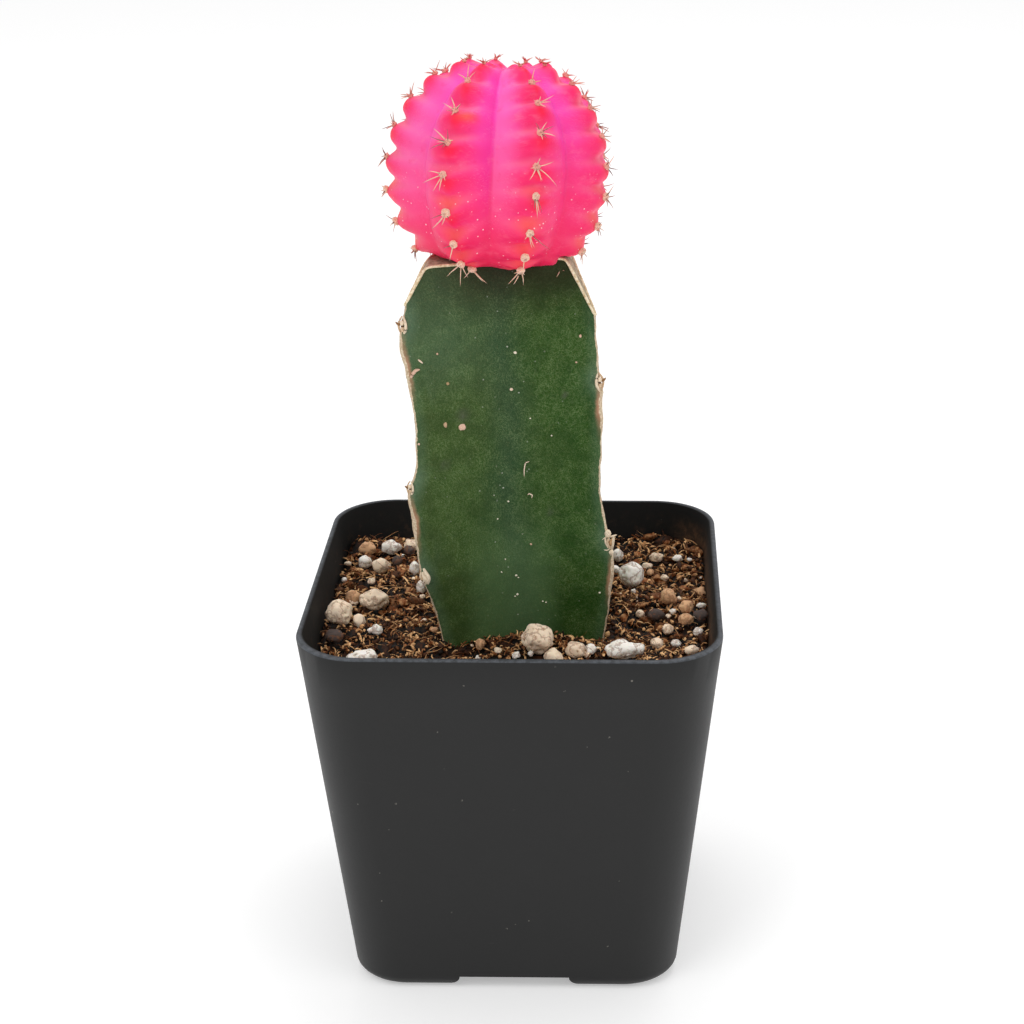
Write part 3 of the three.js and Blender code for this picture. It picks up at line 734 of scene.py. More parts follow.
@dataclass
class BallShape:
    """The pink ball's form: u runs round the ribs, and step runs down the tubercles."""

    centre: tuple[float, float, float] = (-1.5, -3.0, 128.5)
    axis: tuple[float, float, float] = (0.06, 0.13, 1)
    radius: float = 16.3
    fullness_above: float = 2.06
    fullness_below: float = 2.13
    groove_depth: float = 2.45
    groove_sharpness: float = 2.1
    groove_round: float = 0.03
    groove_fade: float = 0.8
    chin_in_groove: float = 0.05
    chin_width: float = 0.46
    chin_fade: float = 0.75
    chin_fade_from: tuple[float, float] = (46, 64)
    crease_rise: float = 0.2
    crown_steps: float = 2.2
    crown_dip: float = 0.1
    crown_degrees: float = 15
    young_step: float = -0.95
    tubercles: int = 8
    lowest_areole: float = -62
    lowest_step: float = 9.5
    flat_share: float = 0.09
    flat_from: tuple[float, float] = (45, 72)
    keel: float = 0.12
    keel_width: float = 0.12
    seat_gap: float = 0.3
    ribs: Sequence[BallRib] = (
        BallRib(-83, -47, 53, 16.5, -0.2),
        BallRib(-24, -1.5, 51, 16.4, 0, FRONT_LEFT),
        BallRib(22.5, 46, 53, 15.3, 0, FRONT_RIGHT),
        # The right-hand rib carries the full painted highlight along its crest.
        BallRib(69, 96, 51, 14.8, 0.2, ridge=1.0),
        BallRib(118, 136, 54, 15.6, 0.2),
        BallRib(154, 175, 50, 16.2, 0),
        BallRib(196, 216, 54, 15.4, 0.1),
        BallRib(237, 256, 51, 16.1, 0.2),
    )
    chin_above: Knots = ((-0.3, -0.7), (0, 0.3), (0.2, 0.7), (0.45, 0.4), (0.7, -0.7), (1, 0.3), (1.2, 0.7))
    chin_below: Knots = ((-0.3, -0.65), (0, 0.6), (0.2, 0.6), (0.45, 0), (0.7, -0.65), (1, 0.6), (1.2, 0.6))

    def __post_init__(self) -> None:
        """Work out where the ball stands."""
        turn = UP.rotation_difference(Vector(self.axis).normalized())
        self.placement = Matrix.Translation(self.centre) @ turn.to_matrix().to_4x4()

    def shift(self, rib: BallRib, step: float) -> tuple[float, float]:
        """Return how far a rib is drawn off its even step there, as latitude and azimuth."""
        if not rib.shifts:
            return 0.0, 0.0
        rows = ((-self.crown_steps, (0.0, 0.0)), *enumerate(rib.shifts), (self.lowest_step, (0.0, 0.0)))
        latitude, azimuth = (through_knots([(at, pair[axis]) for at, pair in rows], step) for axis in (0, 1))
        return latitude, azimuth

    def place(self, u: float, step: float) -> Place:
        """Return the place at u and step."""
        count = len(self.ribs)
        index = math.floor(u) % count
        t = u - math.floor(u)
        here, before, after = self.ribs[index], self.ribs[index - 1], self.ribs[(index + 1) % count]
        opening = before.groove - (360 if index == 0 else 0)
        off = abs(2 * t - 1)
        neighbour, share = (before, 0.5 - t) if t < 0.5 else (after, t - 0.5)
        azimuth = lerp(opening, here.crest, 2 * t) if t < 0.5 else lerp(here.crest, here.groove, 2 * t - 1)
        latitude_shift, azimuth_shift = self.shift(here, step)
        other_shift = self.shift(neighbour, step)[0]
        first = lerp(here.first, neighbour.first, share)
        pitch = lerp(here.pitch, neighbour.pitch, share)
        latitude = first - pitch * step if step >= 0 else lerp(first, 90, -step / self.crown_steps)
        latitude = clamp(latitude + lerp(latitude_shift, other_shift, share), -90, 90)
        lower = smoothstep(-latitude, -12, 18)
        within = (step + self.crease_rise * off * lower) % 1
        bulk = lerp(here.bulk, neighbour.bulk, share)
        azimuth = radians(azimuth + azimuth_shift * (1 - off))
        return Place(azimuth, latitude, off, within, lower, bulk, here.ridge)

    def point(self, u: float, step: float) -> Vector:
        """Return the surface's point at u and step, in the ball's own frame."""
        place = self.place(u, step)
        lat = radians(place.latitude)
        ring = max(0.0, cos(lat))
        above, below = (through_knots(knots, place.within) for knots in (self.chin_above, self.chin_below))
        chin = lerp(above, below, place.lower)
        spread = lerp(self.chin_in_groove, 1, bump(place.off, 0, self.chin_width))
        under = 1 - self.chin_fade * smoothstep(-place.latitude, *self.chin_fade_from)
        relief = chin * under * spread * smoothstep(ring, 0, 0.5)
        relief += self.keel * bump(place.off, 0, self.keel_width) * smoothstep(ring, 0.15, 0.6)
        fade = 1 - self.groove_fade * smoothstep(-place.latitude, 20, 62)
        inwards = max(0.0, 1 - hypot(1 - place.off, self.groove_round))
        groove = self.groove_depth * fade * ring**0.8 * inwards**self.groove_sharpness
        dip = self.radius * self.crown_dip * bump(place.latitude, 90, self.crown_degrees)
        exponent = self.fullness_above if place.latitude > 0 else self.fullness_below
        full = (ring**exponent + abs(sin(lat)) ** exponent) ** (-1 / exponent)
        radius = (self.radius + place.bulk * smoothstep(ring, 0, 0.3)) * full + relief - groove - dip
        direction = Vector((ring * sin(place.azimuth), -ring * cos(place.azimuth), sin(lat)))
        point = direction * radius
        point.z *= 1 - self.flat_share * smoothstep(-place.latitude, *self.flat_from)
        wrinkle = rough(Vector((place.azimuth * 7, point.z, place.off * 3)), 2.6, 4)
        return point + direction * 0.1 * wrinkle * smoothstep(ring, 0, 0.4)

    def stand(self, u: float, step: float, lift: float = 0.0) -> Matrix:
        """Return the frame of an areole.

        Args:
            u: Its place round the ribs.
            step: Its place down the tubercles.
            lift: How far it is raised off the skin.

        Returns:
            The frame, whose x points downhill, y to the right seen from outside, and z outwards.
        """
        right = self.point(u + 0.06, step) - self.point(u - 0.06, step)
        down = self.point(u, step + 0.5) - self.point(u, step - 0.5)
        facing = down.cross(right).normalized()
        downhill = (facing * facing.z - UP).normalized()
        foot = self.point(u, step) + facing * lift
        rows = zip(downhill, facing.cross(downhill), facing, foot)
        return self.placement @ Matrix((*rows, (0, 0, 0, 1)))

    def areoles(self) -> Iterator[tuple[int, int, float, float]]:
        """Yield each areole's rib, tubercle, step and latitude. Tubercle -1 is the young one at the crown."""
        for rib in range(len(self.ribs)):
            for tubercle in range(-1, self.tubercles):
                step = self.young_step if tubercle < 0 else tubercle
                latitude = self.place(rib + 0.5, step).latitude
                if latitude > self.lowest_areole:
                    yield rib, tubercle, step, latitude


@dataclass
class Scion:
    """The pink ball, its felt areoles and its spines."""

    shape: BallShape
    stem: StemShape
    columns: int = 224
    rows: int = 200
    last_step: float = 9.7
    seat_softness: float = 0.5
    seat_latitude: float = -30
    wool_radius: float = 0.52
    wool_thickness: float = 0.42
    wool_lift: float = 0.22
    pitch: float = 4.6
    half_rib: float = 4.2

    def build(self) -> None:
        """Build and dress the ball, the wool and the spines."""
        self.skin()
        self.wool()
        self.spines()

    def seated(self, point: Vector) -> Vector:
        """Return a point of the skin, lifted clear of the cut stem where it would run into it."""
        local = self.stem.back_to_local @ point
        reach = self.stem.reach_towards(local.x, local.y, self.stem.height)
        inside = smoothstep(reach - hypot(local.x, local.y), -0.7, 0.15)
        roof = self.stem.roof(local.x, local.y) + self.shape.seat_gap
        blend = clamp(0.5 + (local.z - roof) / self.seat_softness / 2)
        lifted = lerp(roof, local.z, blend) + self.seat_softness * blend * (1 - blend)
        local.z = lerp(local.z, max(lifted, local.z), inside)
        return self.stem.placement @ local

    def skin(self) -> None:
        """Build the ball's body."""
        mesh = bmesh.new()
        layers = {name: mesh.verts.layers.float.new(name) for name in self.marks(0.0, 0.0)}
        count = len(self.shape.ribs)
        for point, share, turn in sheet(mesh, self.rows, self.columns):
            step = lerp(-self.shape.crown_steps, self.last_step, share)
            u = turn * count % count
            for name, value in self.marks(u, step).items():
                point[layers[name]] = value
            low = self.shape.place(u, step).latitude < self.seat_latitude
            world = self.shape.placement @ self.shape.point(u, step)
            point.co = self.seated(world) if low else world
        tidy(mesh, 1e-3)
        publish("scion_skin", mesh, [BallSkin().build()], ["scion"])

    def marks(self, u: float, step: float) -> dict[str, float]:
        """Return what the skin's finish needs to know at u and step: ribs, folds, tinted patches, and where
        highlights and shade are painted.
        """
        place = self.shape.place(u, step)
        side = (u % 1 - 0.5) * 2 * self.half_rib
        down = place.within * self.pitch
        above = down - self.pitch if down > 0.6 * self.pitch else down
        taper = lerp(1.0, 0.4, smoothstep(down, 0.4, 2.8))
        glow = smoothstep(-place.latitude, -8, 14) * bump(above, -0.75, 1.0) * bump(side, 0, 1.3)
        seam = (u - 2) * 2 * self.half_rib
        seen = smoothstep(place.latitude, -38, 5)
        if int(u) == 1 and 0.9 < step < 1.7:
            glow += bump(down, 0.8, 0.8) * bump(side, 1.4, 0.9)
        return {
            "off": place.off,
            "rise": place.latitude / 90,
            "red": smoothstep(down, 0.3, 0.8) * smoothstep(-down, -3.0, -1.4) * bump(side, 0.3, taper),
            # under: where a painted shadow band falls below each areole's ledge
            "under": bump(down, 1.5, 1.2) * bump(side, 0, 3.0),
            # painted highlight on the upward-facing ledge above each areole
            "ledge": bump(above, -0.7, 0.6) * bump(side, 0, 2.8),
            "near": bump(above, 0.1, 0.95) * bump(side, 0, 0.95),
            # painted highlight along the rib's crest
            "ridge": place.ridge * bump(place.off, 0, 0.12),
            "glow": glow,
            # lit and dim: painted light and painted shade on the two sides of the seam between ribs 1 and 2
            "lit": seen * smoothstep(seam, 0.0, 0.2) * smoothstep(-seam, -3.4, -0.5),
            "dim": seen * smoothstep(-seam, 0.0, 0.2) * smoothstep(seam, -2.2, -0.3),
        }

    def wool(self) -> None:
        """Build the felt pad of each areole."""
        mesh = bmesh.new()
        draws = Draws(77)
        pad = ball_stamp(3)
        for rib, tubercle, step, latitude in self.shape.areoles():
            size = 0.7 if tubercle < 0 else draws.between(0.92, 1.1)
            size *= lerp(0.9, 1.22, smoothstep(-latitude, -15, 15))
            ring = smoothstep(-latitude, -10, 30)
            stand = self.shape.stand(rib + 0.5, step, self.wool_lift)
            seed = draws.direction() * 50
            holes = [draws.several((-0.5, 0.5), (-0.5, 0.5)) for _ in range(3)]

            def move(spot: Vector) -> Vector:
                """Return a pad's point, dimpled in the middle and tufted all over."""
                dimple = 0.3 * ring * bump(hypot(spot.x, spot.y), 0, 0.36) if spot.z > 0 else 0.0
                tuft = 1 + lerp(0.36, 0.22, ring) * rough(spot * 2.2 + seed, 1.0, 3)
                flat = Vector((spot.x * self.wool_radius, spot.y * self.wool_radius * 0.96, 0)) * size * tuft
                flat.z = (spot.z * tuft - dimple) * self.wool_thickness * size
                return stand @ flat

            def eye(spot: Vector) -> float:
                """Return how far a pad's point lies in one of its dark hollows."""
                if spot.z < 0:
                    return 0.0
                around = (bump(hypot(spot.x - x, spot.y - y), 0, 0.2) for x, y in holes)
                return max(ring * bump(hypot(spot.x, spot.y), 0, 0.34), (1 - ring) * max(around))

            pad.press(mesh, move, eye=eye, upper=smoothstep(latitude, -12, 14))
        tidy(mesh)
        publish("scion_wool", mesh, [Felt().build()])

    def spines(self) -> None:
        """Build every spine as a thin curved horn."""
        mesh = bmesh.new()
        draws = Draws(4021)
        strip = strip_stamp(7, 6)
        for rib, tubercle, step, latitude in self.shape.areoles():
            stand = self.shape.stand(rib + 0.5, step, self.wool_lift + 0.1)
            young = smoothstep(latitude, 25, 60)
            listed = SPINES.get((rib, tubercle))
            for turn, length, tone in listed or self.chance_spines(tubercle, draws):
                lean = radians(draws.between(*((42, 52) if abs(turn) < 75 else (56, 70))))
                if listed:
                    length /= sin(lean)
                bend = draws.between(-0.22, 0.22)
                thickness = draws.between(0.062, 0.08) * lerp(1.1, 0.9, tone)
                level_way = level(radians(turn))
                heading = level_way * sin(lean) + UP * cos(lean)
                sag = leftward(level_way) * bend * length - UP * 0.3 * length * cos(lean) ** 2

                def path(share: float) -> Vector:
                    """Return a point of the middle line, from the felt outwards."""
                    return stand @ (level_way * 0.2 + heading * length * share + sag * share * share)

                def radius(share: float) -> float:
                    """Return the radius, thick at the root and fine at the tip."""
                    root = smoothstep(share, -0.08, 0.04)
                    return thickness * (1.35 - 0.75 * share) * (1 - share**5) * root

                horn = along_cord(path, radius)
                strip.press(mesh, horn, tone=tone, young=young, along=lambda spot: spot.x)
        tidy(mesh)
        publish("scion_spines", mesh, [SpineHorn().build()])

    def chance_spines(self, tubercle: int, draws: Draws) -> list[list[float]]:
        """Return the turn, length and tone of each spine of an areole that the photo barely shows."""
        if tubercle < 0:
            return [draws.several((-180, 180), (0.6, 1.4), (0.3, 1.0)) for _ in range(8)]
        count = 5 + math.floor(draws.between(0, 2.99))
        start, spread = draws.several((-150, -110), (45, 62))
        turns = (start + spread * k for k in range(count))
        return [draws.several((turn - 14, turn + 14), (1.2, 2.5), (0.1, 1.0)) for turn in turns]


# The spines that the photo shows: the turn, the length and the tone of each, by rib and tubercle. The tone
# is P for a pale spine and D for a dark one.
P, D = 0.12, 0.85
SPINES = {
    (1, 0): ((-165, 2.4, P), (152, 1.5, P), (-115, 1.5, P), (85, 0.6, P)),
    (1, 1): ((-162, 1.7, P), (-108, 1.9, P), (137, 1.0, P), (-47, 0.9, D), (15, 1.0, P), (125, 1.0, D)),
    (1, 2): (
        *((-134, 2.4, P), (-84, 1.3, P), (-95, 2.4, D), (-54, 2.1, D)),
        *((170, 1.6, D), (112, 1.1, P), (-24, 0.9, D)),
    ),
    (1, 3): ((-111, 1.9, P), (-67, 2.4, P), (-17, 2.3, P), (5, 2.1, P), (60, 0.9, P)),
    (1, 4): ((-25, 2.2, P), (7, 1.3, P), (-72, 1.8, D), (59, 1.0, D)),
    (1, 5): ((-8, 1.8, P), (-74, 1.2, D)),
    (1, 6): ((-72, 2.3, P), (-5, 2.5, P), (34, 1.7, P)),
    (1, 7): ((-66, 1.9, P), (38, 2.0, P), (64, 2.5, P)),
    (2, 0): ((171, 1.9, P), (-90, 0.6, P), (68, 1.0, P)),
    (2, 1): ((103, 2.4, P), (85, 1.6, P), (144, 0.8, P), (20, 1.3, P), (-103, 0.6, P)),
    (2, 2): (
        *((156, 1.5, P), (119, 1.8, D), (71, 1.8, P), (-3, 1.2, P)),
        *((38, 1.0, D), (-133, 0.8, P), (-158, 1.4, D)),
    ),
    (2, 3): (
        *((103, 2.1, P), (-37, 2.4, P), (49, 3.3, P), (2, 1.8, P)),
        *((17, 1.9, P), (-75, 1.0, P), (170, 1.2, P)),
    ),
    (2, 4): ((-5, 2.4, P), (8, 2.0, P), (-28, 1.5, D), (25, 1.9, D)),
    (2, 5): ((-69, 0.9, P), (-5, 1.5, P), (9, 1.6, P), (62, 2.8, D)),
    (2, 6): ((-14, 1.9, P),),
    (2, 7): ((-109, 1.4, P), (-48, 2.3, P), (-13, 2.1, P), (34, 2.2, P), (62, 0.6, P)),
}


# Stem


@dataclass
class Rootstock:
    """The green three-ribbed stem, with its cut top, corky edges, areoles and scars."""

    shape: StemShape
    around: int = 192
    rows: int = 110
    callus: float = 0.22
    corner_round: float = 1.35
    corner_cuts: int = 3
    crease: float = 34

    def build(self) -> None:
        """Build and dress the stem."""
        self.skin()
        self.growths()
        self.scars()

    def cut(self, mesh: Mesh, point: Vector, facing: Vector) -> None:
        """Cut off what lies beyond a plane through a point, and close the cut with a face of dried flesh."""
        whole = mesh.verts[:] + mesh.edges[:] + mesh.faces[:]
        cut = bmesh.ops.bisect_plane(mesh, geom=whole, plane_co=point, plane_no=facing, clear_outer=True)
        rim = [item for item in cut["geom_cut"] if isinstance(item, bmesh.types.BMEdge) and item.is_boundary]
        bmesh.ops.contextual_create(mesh, geom=rim)["faces"][0].material_index = 1

    def cuts(self) -> Iterator[tuple[Vector, Vector]]:
        """Yield the planes that trim the top, as point and facing: flat, bevelled, and round between them."""
        top = UP * self.shape.height
        yield top, UP
        for rib in self.shape.ribs:
            outward = rib.bevel_outward
            lowest = radians(rib.bevel_degrees)
            inset = self.corner_round * (1 - sin(lowest)) / cos(lowest)
            middle = top + outward * (rib.bevel_start - inset) - UP * self.corner_round
            for k in range(self.corner_cuts, -1, -1):
                rise = lerp(lowest, pi / 2, k / (self.corner_cuts + 1))
                facing = outward * cos(rise) + UP * sin(rise)
                yield middle + facing * self.corner_round, facing

    def skin(self) -> None:
        """Build the stem's body and the callus round its cuts."""
        shape = self.shape
        mesh = bmesh.new()
        names = ("edge", "height", "furrow", "areole", "worn", "stain")
        layers = [mesh.verts.layers.float.new(name) for name in names]
        for point, share, turn in sheet(mesh, self.rows, self.around):
            h = lerp(-shape.buried, shape.height + 1, share)
            k = turn * CORNERS % CORNERS
            spot = shape.surface(k, h)
            role = k % PER_RIB
            gap = through_knots(EDGE_GAP, abs(role - 2) if role <= 6 else 10 - role)
            outwards = Vector((spot.x, spot.y, 0)).normalized()
            spot += outwards * 0.12 * rough(spot, 3.2, 4) * (1.0 + bump(gap, 0, 0.9))
            point.co = spot
            nearest = int((k + 4 if role > 4 else k) // PER_RIB) % len(shape.ribs)
            areole = max(bump(h, at, 2.4) for at, _ in shape.ribs[nearest].areoles) * bump(gap, 0, 2.2)
            worn = max(bump(h, *patch) for patch in WORN[nearest])
            near = max(bump(hypot(spot.x - x, (h - at) * 0.85), 0, size) for x, at, size in STAINS)
            stain = near if spot.y < 0 else 0.0
            values = (gap, h / shape.height, bump(role, 6, 0.55), areole, worn, stain)
            for layer, value in zip(layers, values):
                point[layer] = value
        bmesh.ops.remove_doubles(mesh, verts=mesh.verts, dist=1e-3)
        for point, facing in self.cuts():
            self.cut(mesh, point, facing)
        sides = ((edge, {face.material_index for face in edge.link_faces}) for edge in mesh.edges)
        rim = self.outline([edge for edge, numbers in sides if numbers == {0, 1}])
        bmesh.ops.contextual_create(mesh, geom=[edge for edge in mesh.edges if edge.is_boundary])
        bmesh.ops.recalc_face_normals(mesh, faces=mesh.faces)
        bmesh.ops.transform(mesh, matrix=shape.placement, verts=mesh.verts)
        finishes = [StemSkin().build(), FLESH.build()]
        publish("stem_skin", mesh, finishes, ["rootstock"], self.crease)
        self.callus_ring(rim)

    def outline(self, edges: Sequence[bmesh.types.BMEdge]) -> list[Vector]:
        """Return the points along a closed chain of edges, in order and evenly spread."""
        left = set(edges)
        here = edges[0].verts[0]
        chain = [here.co.copy()]
        while following := next((edge for edge in here.link_edges if edge in left), None):
            left.remove(following)
            here = following.other_vert(here)
            if (here.co - chain[-1]).length > 0.12:
                chain.append(here.co.copy())
        return chain

    def callus_ring(self, rim: Sequence[Vector]) -> None:
        """Build the cream callus that lines the cuts, whose closed outline is given in the stem's frame."""
        mesh = bmesh.new()
        count = len(rim)

        def path(share: float) -> Vector:
            """Return a point of the cut's outline, smoothed over its neighbours."""
            whole = share * count
            first = math.floor(whole)
            pairs = ((rim[k % count], rim[(k + 1) % count]) for k in range(first - 2, first + 3))
            return self.shape.placement @ (sum((a.lerp(b, whole - first) for a, b in pairs), Vector()) / 5)

        def radius(share: float) -> float:
            """Return the callus' radius, which wavers."""
            return self.callus * (1 + 0.18 * sin(share * count * 0.6) * sin(share * count * 0.17))

        strip_stamp(count, 8).press(mesh, along_cord(path, radius))
        tidy(mesh)
        publish("stem_callus", mesh, [CALLUS.build()])

    def growths(self) -> None:
        """Build the corky nests of the stem's areoles."""
        mesh = bmesh.new()
        strip = strip_stamp(16, 8)
        lump = ball_stamp(3)
        for rib, forward in zip(self.shape.ribs, (1, -1, 1)):
            across = leftward(rib.outward) * forward
            for h, size in rib.areoles:
                growth = GROWTHS.get(h, NEST)
                foot = rib.outward * through_knots(rib.reach, h) + UP * h

                def spot(out: float, front: float, up: float) -> Vector:
                    """Return a place of the growth in the plant's frame."""
                    aside = rib.outward * out + across * front + UP * up
                    return self.shape.placement @ (foot + aside * size)

                for knots, thickness, tone in growth.strokes:
                    strand = self.strand([spot(*knot) for knot in knots], thickness * size)
                    strip.press(mesh, strand, tone=tone)
                for centre, radius, tone in growth.lumps:
                    middle = spot(*centre)
                    seed = middle * 3

                    def move(point: Vector) -> Vector:
                        """Return a lump's point."""
                        bulge = 1 + 0.25 * rough(point * 1.3 + seed, 1.0, 3)
                        return middle + Vector((point.x, point.y, point.z * 1.25)) * radius * size * bulge

                    lump.press(mesh, move, tone=tone)
        tidy(mesh)
        publish("stem_areoles", mesh, [CORK.build()])

    def strand(self, spots: Sequence[Vector], thickness: float) -> Mover:
        """Return the mover of a strand that thins at its ends and runs smoothly through a few spots."""
        lines = [[(k, spot[axis]) for k, spot in enumerate(spots)] for axis in range(3)]
        last = len(spots) - 1
        return along_cord(
            lambda share: Vector([through_knots(line, share * last) for line in lines]),
            lambda share: thickness * max(0.02, sin(pi * lerp(0.08, 0.95, share))) ** 0.6,
        )

    def scars(self) -> None:
        """Build the small scars and specks on the stem's front face."""
        mesh = bmesh.new()
        dot = ball_stamp(2)
        for x, h, width, height, tone in DOTS:
            point, facing, along = self.shape.front_spot(x, h)
            upward = facing.cross(along)
            seed = Vector((x * 7, h * 3, 1))

            def move(spot: Vector) -> Vector:
                """Return a speck's point."""
                bulge = 1 + 0.3 * rough(spot * 1.1 + seed, 1.0, 3)
                flat = along * spot.x * width / 2 * bulge + upward * spot.y * height / 2 * bulge
                return self.shape.placement @ (point + flat + facing * (spot.z * 0.12 + 0.02))

            dot.press(mesh, move, tone=tone)
        strip = strip_stamp(14, 8)
        for knots, thickness, tone in STROKES:
            spots = [self.shape.front_spot(x, h) for x, h in knots]

            def path(share: float) -> Vector:
                """Return a point of the scar's middle line."""
                whole = share * (len(spots) - 1)
                first = min(math.floor(whole), len(spots) - 2)
                point = spots[first][0].lerp(spots[first + 1][0], whole - first)
                return self.shape.placement @ (point + spots[first][1] * 0.04)

            scar = along_cord(path, lambda share: thickness * sqrt(max(0.0, sin(pi * share))) + 0.01)
            strip.press(mesh, scar, tone=tone)
        tidy(mesh)
        publish("stem_scars", mesh, [SCAR.build()])


@dataclass(frozen=True)
class Growth:
    """The corky growth of one areole, each place as out from the rib's edge, towards the front, and up.

    Attributes:
        strokes: Strands, each as its places, its thickness and its tone.
        lumps: Lumps, each as its middle, its radius and its tone.
    """

    strokes: Sequence[tuple[Sequence[tuple[float, float, float]], float, float]]
    lumps: Sequence[tuple[tuple[float, float, float], float, float]]


TAIL = ((-0.2, 0.2, 1.2), (-0.15, 0.75, 0.5), (-0.1, 0.8, -0.4), (0, 0.3, -1.3), (0.05, 0.1, -2.6))
NEST = Growth(
    (
        (TAIL, 0.2, 0.12),
        (((-0.1, 0.1, 1.3), (0.35, 0.0, 0.6), (0.5, 0.0, -0.2), (0.25, 0.0, -1.3)), 0.17, 0.35),
        (((0.1, 0.2, 0.1), (0.6, 0.1, 0.25), (0.95, 0.05, 0.65)), 0.16, 0.75),
    ),
    (((0.15, 0.35, 0.35), 0.3, 0.05), ((0.1, 0.3, -0.45), 0.32, 0.3), ((0.2, 0.45, 0.0), 0.14, 1.0)),
)
HOOK = (
    *((-0.2, 0.35, 0.95), (-0.9, 0.6, 0.65), (-1.3, 0.7, -0.1)),
    *((-1.1, 0.7, -0.85), (-0.4, 0.6, -1.25), (0.2, 0.4, -0.9)),
)
# The growths that differ from the common nest, by the height of their areole.
GROWTHS = {
    13: Growth(
        (
            (((-0.1, 0.2, 0.9), (-0.1, 0.9, 0.35), (-0.15, 1.5, -0.2), (-0.1, 1.25, -1.1)), 0.26, 0.0),
            (((0.0, 0.1, 0.4), (0.1, 0.7, -0.2), (0.05, 0.95, -1.2)), 0.24, 0.05),
            (((0.1, 0.0, 0.3), (0.25, 0.1, -0.4), (0.1, 0.1, -1.1)), 0.2, 0.2),
        ),
        (((-0.05, 0.95, -0.55), 0.42, 0.0), ((0.1, 0.5, -0.5), 0.3, 0.4), ((0.15, 0.95, -0.75), 0.16, 0.85)),
    ),
    16: Growth(
        (
            (HOOK, 0.2, 0.1),
            (((-0.55, 0.5, 0.9), (-0.45, 0.65, 0.1), (-0.05, 0.6, -0.9)), 0.19, 0.15),
            (((0.0, 0.4, 0.9), (-0.15, 0.6, 0.1), (0.2, 0.5, -0.95)), 0.18, 0.3),
            (((0.75, 0.1, 1.25), (0.7, 0.3, 0.3), (0.5, 0.3, -1.1)), 0.22, 0.15),
            (((0.1, 0.3, 1.0), (0.7, 0.25, 1.2), (1.35, 0.2, 1.5)), 0.18, 0.0),
        ),
        (((-0.2, 0.3, 1.5), 0.52, 0.1), ((0.25, 0.25, -1.65), 0.4, 0.1), ((0.25, 0.1, -0.1), 0.4, 0.5)),
    ),
}

# How far a rib's edge lies over the skin, in millimetres, by the number of corners from it.
EDGE_GAP = ((0, 0), (1, 0.63), (2, 3.0), (4, 12.0))

# Where each rib's edge is worn wider and pinker: the height, and how far the wear reaches up and down.
WORN = (((22.0, 3.5), (47.0, 4.0)), ((38.5, 3.2), (10.0, 3.0)), ((20.0, 4.0), (37.0, 4.0)))

# Faint grey smudges of the front face: how far right of the axis, height and size.
STAINS = ((-7.0, 38.3, 0.8), (-10.2, 30.5, 0.5), (5.5, 21.5, 0.45), (8.6, 40.5, 0.4))

# Marks of the front face: how far right of the axis, height, width and height of the mark, and tone from
# pale (0) over tan (0.5) to dark (1).
DOTS = (
    *((-7.2, 36.4, 1.1, 1.1, 0.3), (-9.7, 37, 0.6, 0.9, 0.5), (-13.9, 34.3, 0.4, 0.4, 0.3)),
    *((1.4, 47.5, 0.5, 0.45, 0.1), (0.5, 41.7, 0.6, 0.5, 0.2), (-10.1, 48.5, 0.35, 0.35, 0.4)),
    *((-8.9, 43.6, 0.5, 0.5, 0.6), (11.3, 49.6, 0.4, 0.5, 0.3), (10.5, 45.5, 0.3, 0.3, 0.3)),
    *((-1, 23.6, 0.3, 0.3, 0), (-2.8, 20.9, 0.25, 0.25, 0), (3.1, 36.9, 0.25, 0.25, 0)),
    *((12.4, 7.5, 0.35, 0.3, 0), (2.1, 16.3, 0.4, 0.35, 0.4), (-0.5, 11.1, 0.4, 0.3, 0)),
    *((-0.2, 10.7, 0.25, 0.2, 0), (-0.5, 7.7, 0.35, 0.4, 0), (-0.9, 7.4, 0.25, 0.2, 0)),
    *((3.4, 6.3, 0.3, 0.25, 0), (3.9, 6.1, 0.25, 0.25, 0), (-2.7, 12, 0.25, 0.25, 0)),
    *((-2, 14.1, 0.2, 0.25, 0), (6.2, 34, 0.25, 0.25, 0)),
)

# Scars of the front face: places as how far right of the axis and height, then radius and tone.
STROKES = (
    (((-12.8, 46.3), (-13.5, 46.2), (-14.0, 45.6), (-14.3, 45.0)), 0.26, 0.3),
    (((-13.0, 47.9), (-12.7, 47.6), (-12.3, 47.2)), 0.13, 0.2),
    (((2.6, 29.9), (1.95, 29.7), (1.7, 28.6), (1.65, 27.5)), 0.08, 0.2),
    (((2.0, 24.5), (2.3, 24.7), (2.75, 24.4), (2.6, 23.9)), 0.09, 0.2),
)


# Pot


